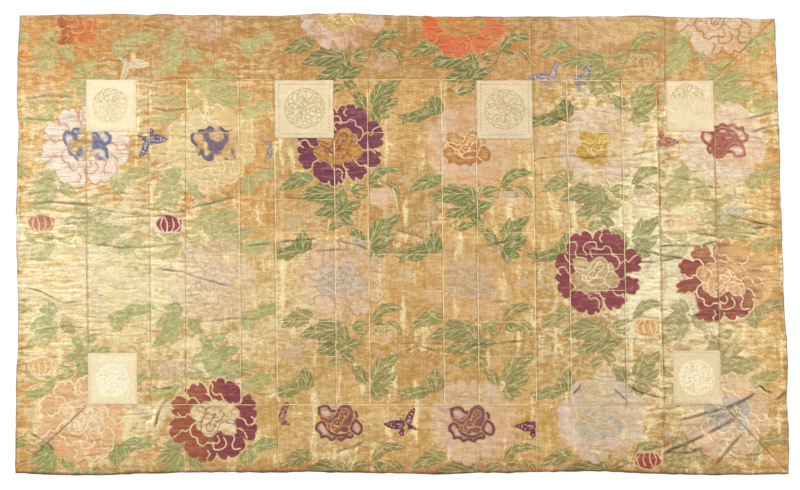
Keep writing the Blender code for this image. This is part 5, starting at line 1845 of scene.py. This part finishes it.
# ================================================================= making it all
def build():
    make_camera()
    gold = brocade("gold_brocade")
    lining = plain_silk("back_silk", "#B9823F", "#8E5F2C")
    pale = square_silk("square_silk")
    pale_back = plain_silk("square_back", "#E2CC9A", "#CDB07A")
    cord_mat = thread_material("seam_cord", "#F8EAC0", "#D2A764", "#B98D4E")
    stitch_mat = thread_material("stitch_thread", "#F1DDAA", "#A87840")
    brown_mat = thread_material("square_thread", "#A89A68", "#7E7448")

    total = 0
    for name, x, z, hem, flat in piece_lattices():
        flat_x, flat_z = x.ravel(), z.ravel()
        height, shade, mask = front_height(flat_x, flat_z)
        back = relief(flat_x, flat_z) + 0.0002
        inner = all_hems(flat_x, flat_z)
        # the turned hem: a little thicker than the cloth, and rounded over to the back
        fold = np.clip(inner / 0.0042, 0.0, 1.0)
        hem_lift = 0.0011 * np.exp(-((inner - 0.0055) / 0.0045) ** 2) - 0.0006 * np.exp(-((inner - 0.0135) / 0.0022) ** 2)
        rounded = np.sqrt(np.clip(1.0 - (1.0 - fold) ** 2, 0.0, 1.0))
        height = height + hem_lift
        middle = 0.5 * (height + back)
        near = inner < 0.0042
        height = np.where(near, back + 0.0004 + (height - back - 0.0004) * rounded, height)
        height = np.maximum(height, back + 0.0004)
        # hems wander a little
        push = np.exp(-np.clip(inner, 0, None) / 0.012)
        px, pz = flat_x.copy(), flat_z.copy()
        if hem == "top":
            pz += push * (hem_bumps(px, 1.0) + 0.0)
        elif hem == "bottom":
            pz += push * hem_bumps(px, 5.0)
        elif hem == "left":
            px += push * hem_bumps(pz, 9.0)
        elif hem == "right":
            px += push * hem_bumps(pz, 13.0)
        if hem in ("top", "bottom", "left", "right"):
            # no wandering at the mitres, so that the pieces still meet
            if hem in ("top", "bottom"):
                ends = smooth(np.minimum(px - x[:, :1].repeat(x.shape[1], 1).ravel(),
                                         x[:, -1:].repeat(x.shape[1], 1).ravel() - px) / 0.02)
                pz = flat_z + (pz - flat_z) * ends
            else:
                ends = smooth(np.minimum(z[:1, :].repeat(z.shape[0], 0).ravel() - pz,
                                         pz - z[-1:, :].repeat(z.shape[0], 0).ravel()) / 0.02)
                px = flat_x + (px - flat_x) * ends
        shape = x.shape
        obj, coords = closed_sheet(name + "_cloth", px.reshape(shape), pz.reshape(shape),
                                   height.reshape(shape), back.reshape(shape), GRID)
        mx, mz = coords[:, 0], coords[:, 2]
        info = motifs(mx, mz)
        colour, gleam = ground(mx, mz)
        _, crease, tone = front_height(mx, mz)
        # painted shade: dark in the creases, along one side of each seam, along every hem, and darkest along the bottom
        # hem
        painted_shade = np.maximum(0.96 * crease, seam_shade(mx, mz) * square_mask(mx, mz, 0.003))
        hem_in = np.clip(all_hems(mx, mz), 0, None)
        painted_shade = np.maximum(painted_shade, 0.62 * np.exp(-(hem_in / 0.0030) ** 2))
        low = np.clip(mz - along(BOTTOM_EDGE, mx), 0, None)
        painted_shade = np.maximum(painted_shade, 0.90 * np.exp(-(low / 0.0062) ** 2))
        painted_shade = np.maximum(painted_shade, 0.30 * np.exp(-(low / 0.016) ** 2))
        mesh = obj.data
        for key in ("leaf_d", "leaf_own", "leaf_up", "leaf_aside", "bloom_d", "heart_d", "line_d", "leaf_s", "bloom_s"):
            put(mesh, key, "FLOAT", info[key])
        for key in ("leaf_c", "bloom_c", "heart_c", "line_c"):
            put(mesh, key, "FLOAT_COLOR", info[key])
        put(mesh, "ground_c", "FLOAT_COLOR", colour)
        put(mesh, "gleam", "FLOAT", gleam)
        put(mesh, "shade", "FLOAT", painted_shade)
        put(mesh, "tone", "FLOAT", tone)
        mesh.materials.append(gold)
        mesh.materials.append(lining)
        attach(obj, "root")
        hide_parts(name)
        kind = name.split("_")[0]
        area = None
        if kind == "border":
            area = 0.97 * flat[0] * flat[1]
        total += sum(len(p.vertices) - 2 for p in mesh.polygons)

    for row in SQUARES:
        obj = make_square(row, pale, pale_back)
        total += sum(len(p.vertices) - 2 for p in obj.data.polygons)

    cords, shaded, stitches = cord_parts()
    cord_obj = joined("seam_cords", cords, cord_mat)
    shaded_obj = joined("mitre_cord", shaded, thread_material("shaded_thread", "#7A5A30", "#4C3418"))
    # all the stitches at once: their heights are read together
    xs = np.concatenate([s[0] for s in stitches])
    zs = np.concatenate([s[1] for s in stitches])
    ys = surface(xs, zs)
    parts = []
    for k, (sx, sz, r) in enumerate(stitches):
        y = ys[3 * k:3 * k + 3] + r * np.array([-0.3, 0.9, -0.3])
        parts.append(tube(np.stack([sx, -y, sz], 1), r * np.array([0.5, 1.0, 0.5]), 4))
    stitch_obj = joined("seam_stitches", parts, stitch_mat)
    parts = []
    for sx, sz, r, _ in square_stitches():
        y = relief(sx, sz) + CLOTH + 0.0004 + PATCH + 0.0003 + r * np.array([-0.4, 0.5, -0.4])
        parts.append(tube(np.stack([sx, -y, sz], 1), r * np.array([0.5, 1.0, 0.5]), 4))
    square_obj = joined("square_stitches", parts, brown_mat)
    for o, slot in ((cord_obj, "border"), (shaded_obj, "border"), (stitch_obj, "border"), (square_obj, "square")):
        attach(o, "root")
        total += sum(len(p.vertices) - 2 for p in o.data.polygons)
    print("triangles", total)


def stage():
    mesh = bpy.data.meshes.new("floor")
    s = 4.0
    mesh.from_pydata([(-s, -s, 0), (s, -s, 0), (s, s, 0), (-s, s, 0)], [], [(0, 1, 2, 3)])
    floor = bpy.data.objects.new("floor", mesh)
    floor.location = (0, 0, -2.1)
    bpy.context.scene.collection.objects.link(floor)
    mat = bpy.data.materials.new("floor_pale")
    mat.use_nodes = True
    mat.node_tree.nodes["Principled BSDF"].inputs["Base Color"].default_value = (0.86, 0.86, 0.86, 1)
    mat.node_tree.nodes["Principled BSDF"].inputs["Roughness"].default_value = 0.8
    floor.data.materials.append(mat)

    world = bpy.data.worlds.new("studio")
    world.use_nodes = True
    tree = world.node_tree
    tree.nodes.clear()
    out = tree.nodes.new("ShaderNodeOutputWorld")
    mix = tree.nodes.new("ShaderNodeMixShader")
    path = tree.nodes.new("ShaderNodeLightPath")
    seen = tree.nodes.new("ShaderNodeBackground")
    seen.inputs["Color"].default_value = (1, 1, 1, 1)
    seen.inputs["Strength"].default_value = 1.05
    lit = tree.nodes.new("ShaderNodeBackground")
    lit.inputs["Strength"].default_value = 1.0
    coord = tree.nodes.new("ShaderNodeTexCoord")
    split = tree.nodes.new("ShaderNodeSeparateXYZ")
    rise = tree.nodes.new("ShaderNodeMapRange")
    rise.inputs["From Min"].default_value = -0.7
    rise.inputs["From Max"].default_value = 0.8
    rise.inputs["To Min"].default_value = 0.07
    rise.inputs["To Max"].default_value = 0.50
    shade = tree.nodes.new("ShaderNodeCombineColor")
    tree.links.new(coord.outputs["Generated"], split.inputs["Vector"])
    tree.links.new(split.outputs["Z"], rise.inputs["Value"])
    for channel in ("Red", "Green", "Blue"):
        tree.links.new(rise.outputs["Result"], shade.inputs[channel])
    tree.links.new(shade.outputs["Color"], lit.inputs["Color"])
    tree.links.new(path.outputs["Is Camera Ray"], mix.inputs[0])
    tree.links.new(lit.outputs[0], mix.inputs[1])
    tree.links.new(seen.outputs[0], mix.inputs[2])
    tree.links.new(mix.outputs[0], out.inputs["Surface"])
    bpy.context.scene.world = world

    # name, place, aim, size, power
    lamps = [
        ("lamp_upper_left", (-4.3, -3.0, 1.5), (-0.1, 0.0, -0.65), (1.8, 1.4), 138.0),
        ("lamp_upper_right", (4.5, -3.0, 1.2), (0.2, 0.0, -0.65), (1.8, 1.4), 120.0),
        ("lamp_top", (0.0, -2.2, 3.0), (0.0, 0.0, -0.7), (3.0, 0.8), 62.0),
    ]
    for name, place, aim, size, power in lamps:
        data = bpy.data.lights.new(name, "AREA")
        data.shape = "RECTANGLE"
        data.size, data.size_y = size
        data.energy = power
        data.color = (1.0, 0.985, 0.955)
        lamp = bpy.data.objects.new(name, data)
        lamp.location = place
        d = np.array(aim) - np.array(place)
        yaw = math.atan2(d[1], d[0]) - math.pi / 2
        pitch = math.atan2(d[2], math.hypot(d[0], d[1]))
        lamp.rotation_euler = (math.pi / 2 + pitch, 0.0, yaw)
        bpy.context.scene.collection.objects.link(lamp)
    bpy.context.scene.view_settings.view_transform = "Standard"
    bpy.context.scene.view_settings.look = "None"


build()
stage()
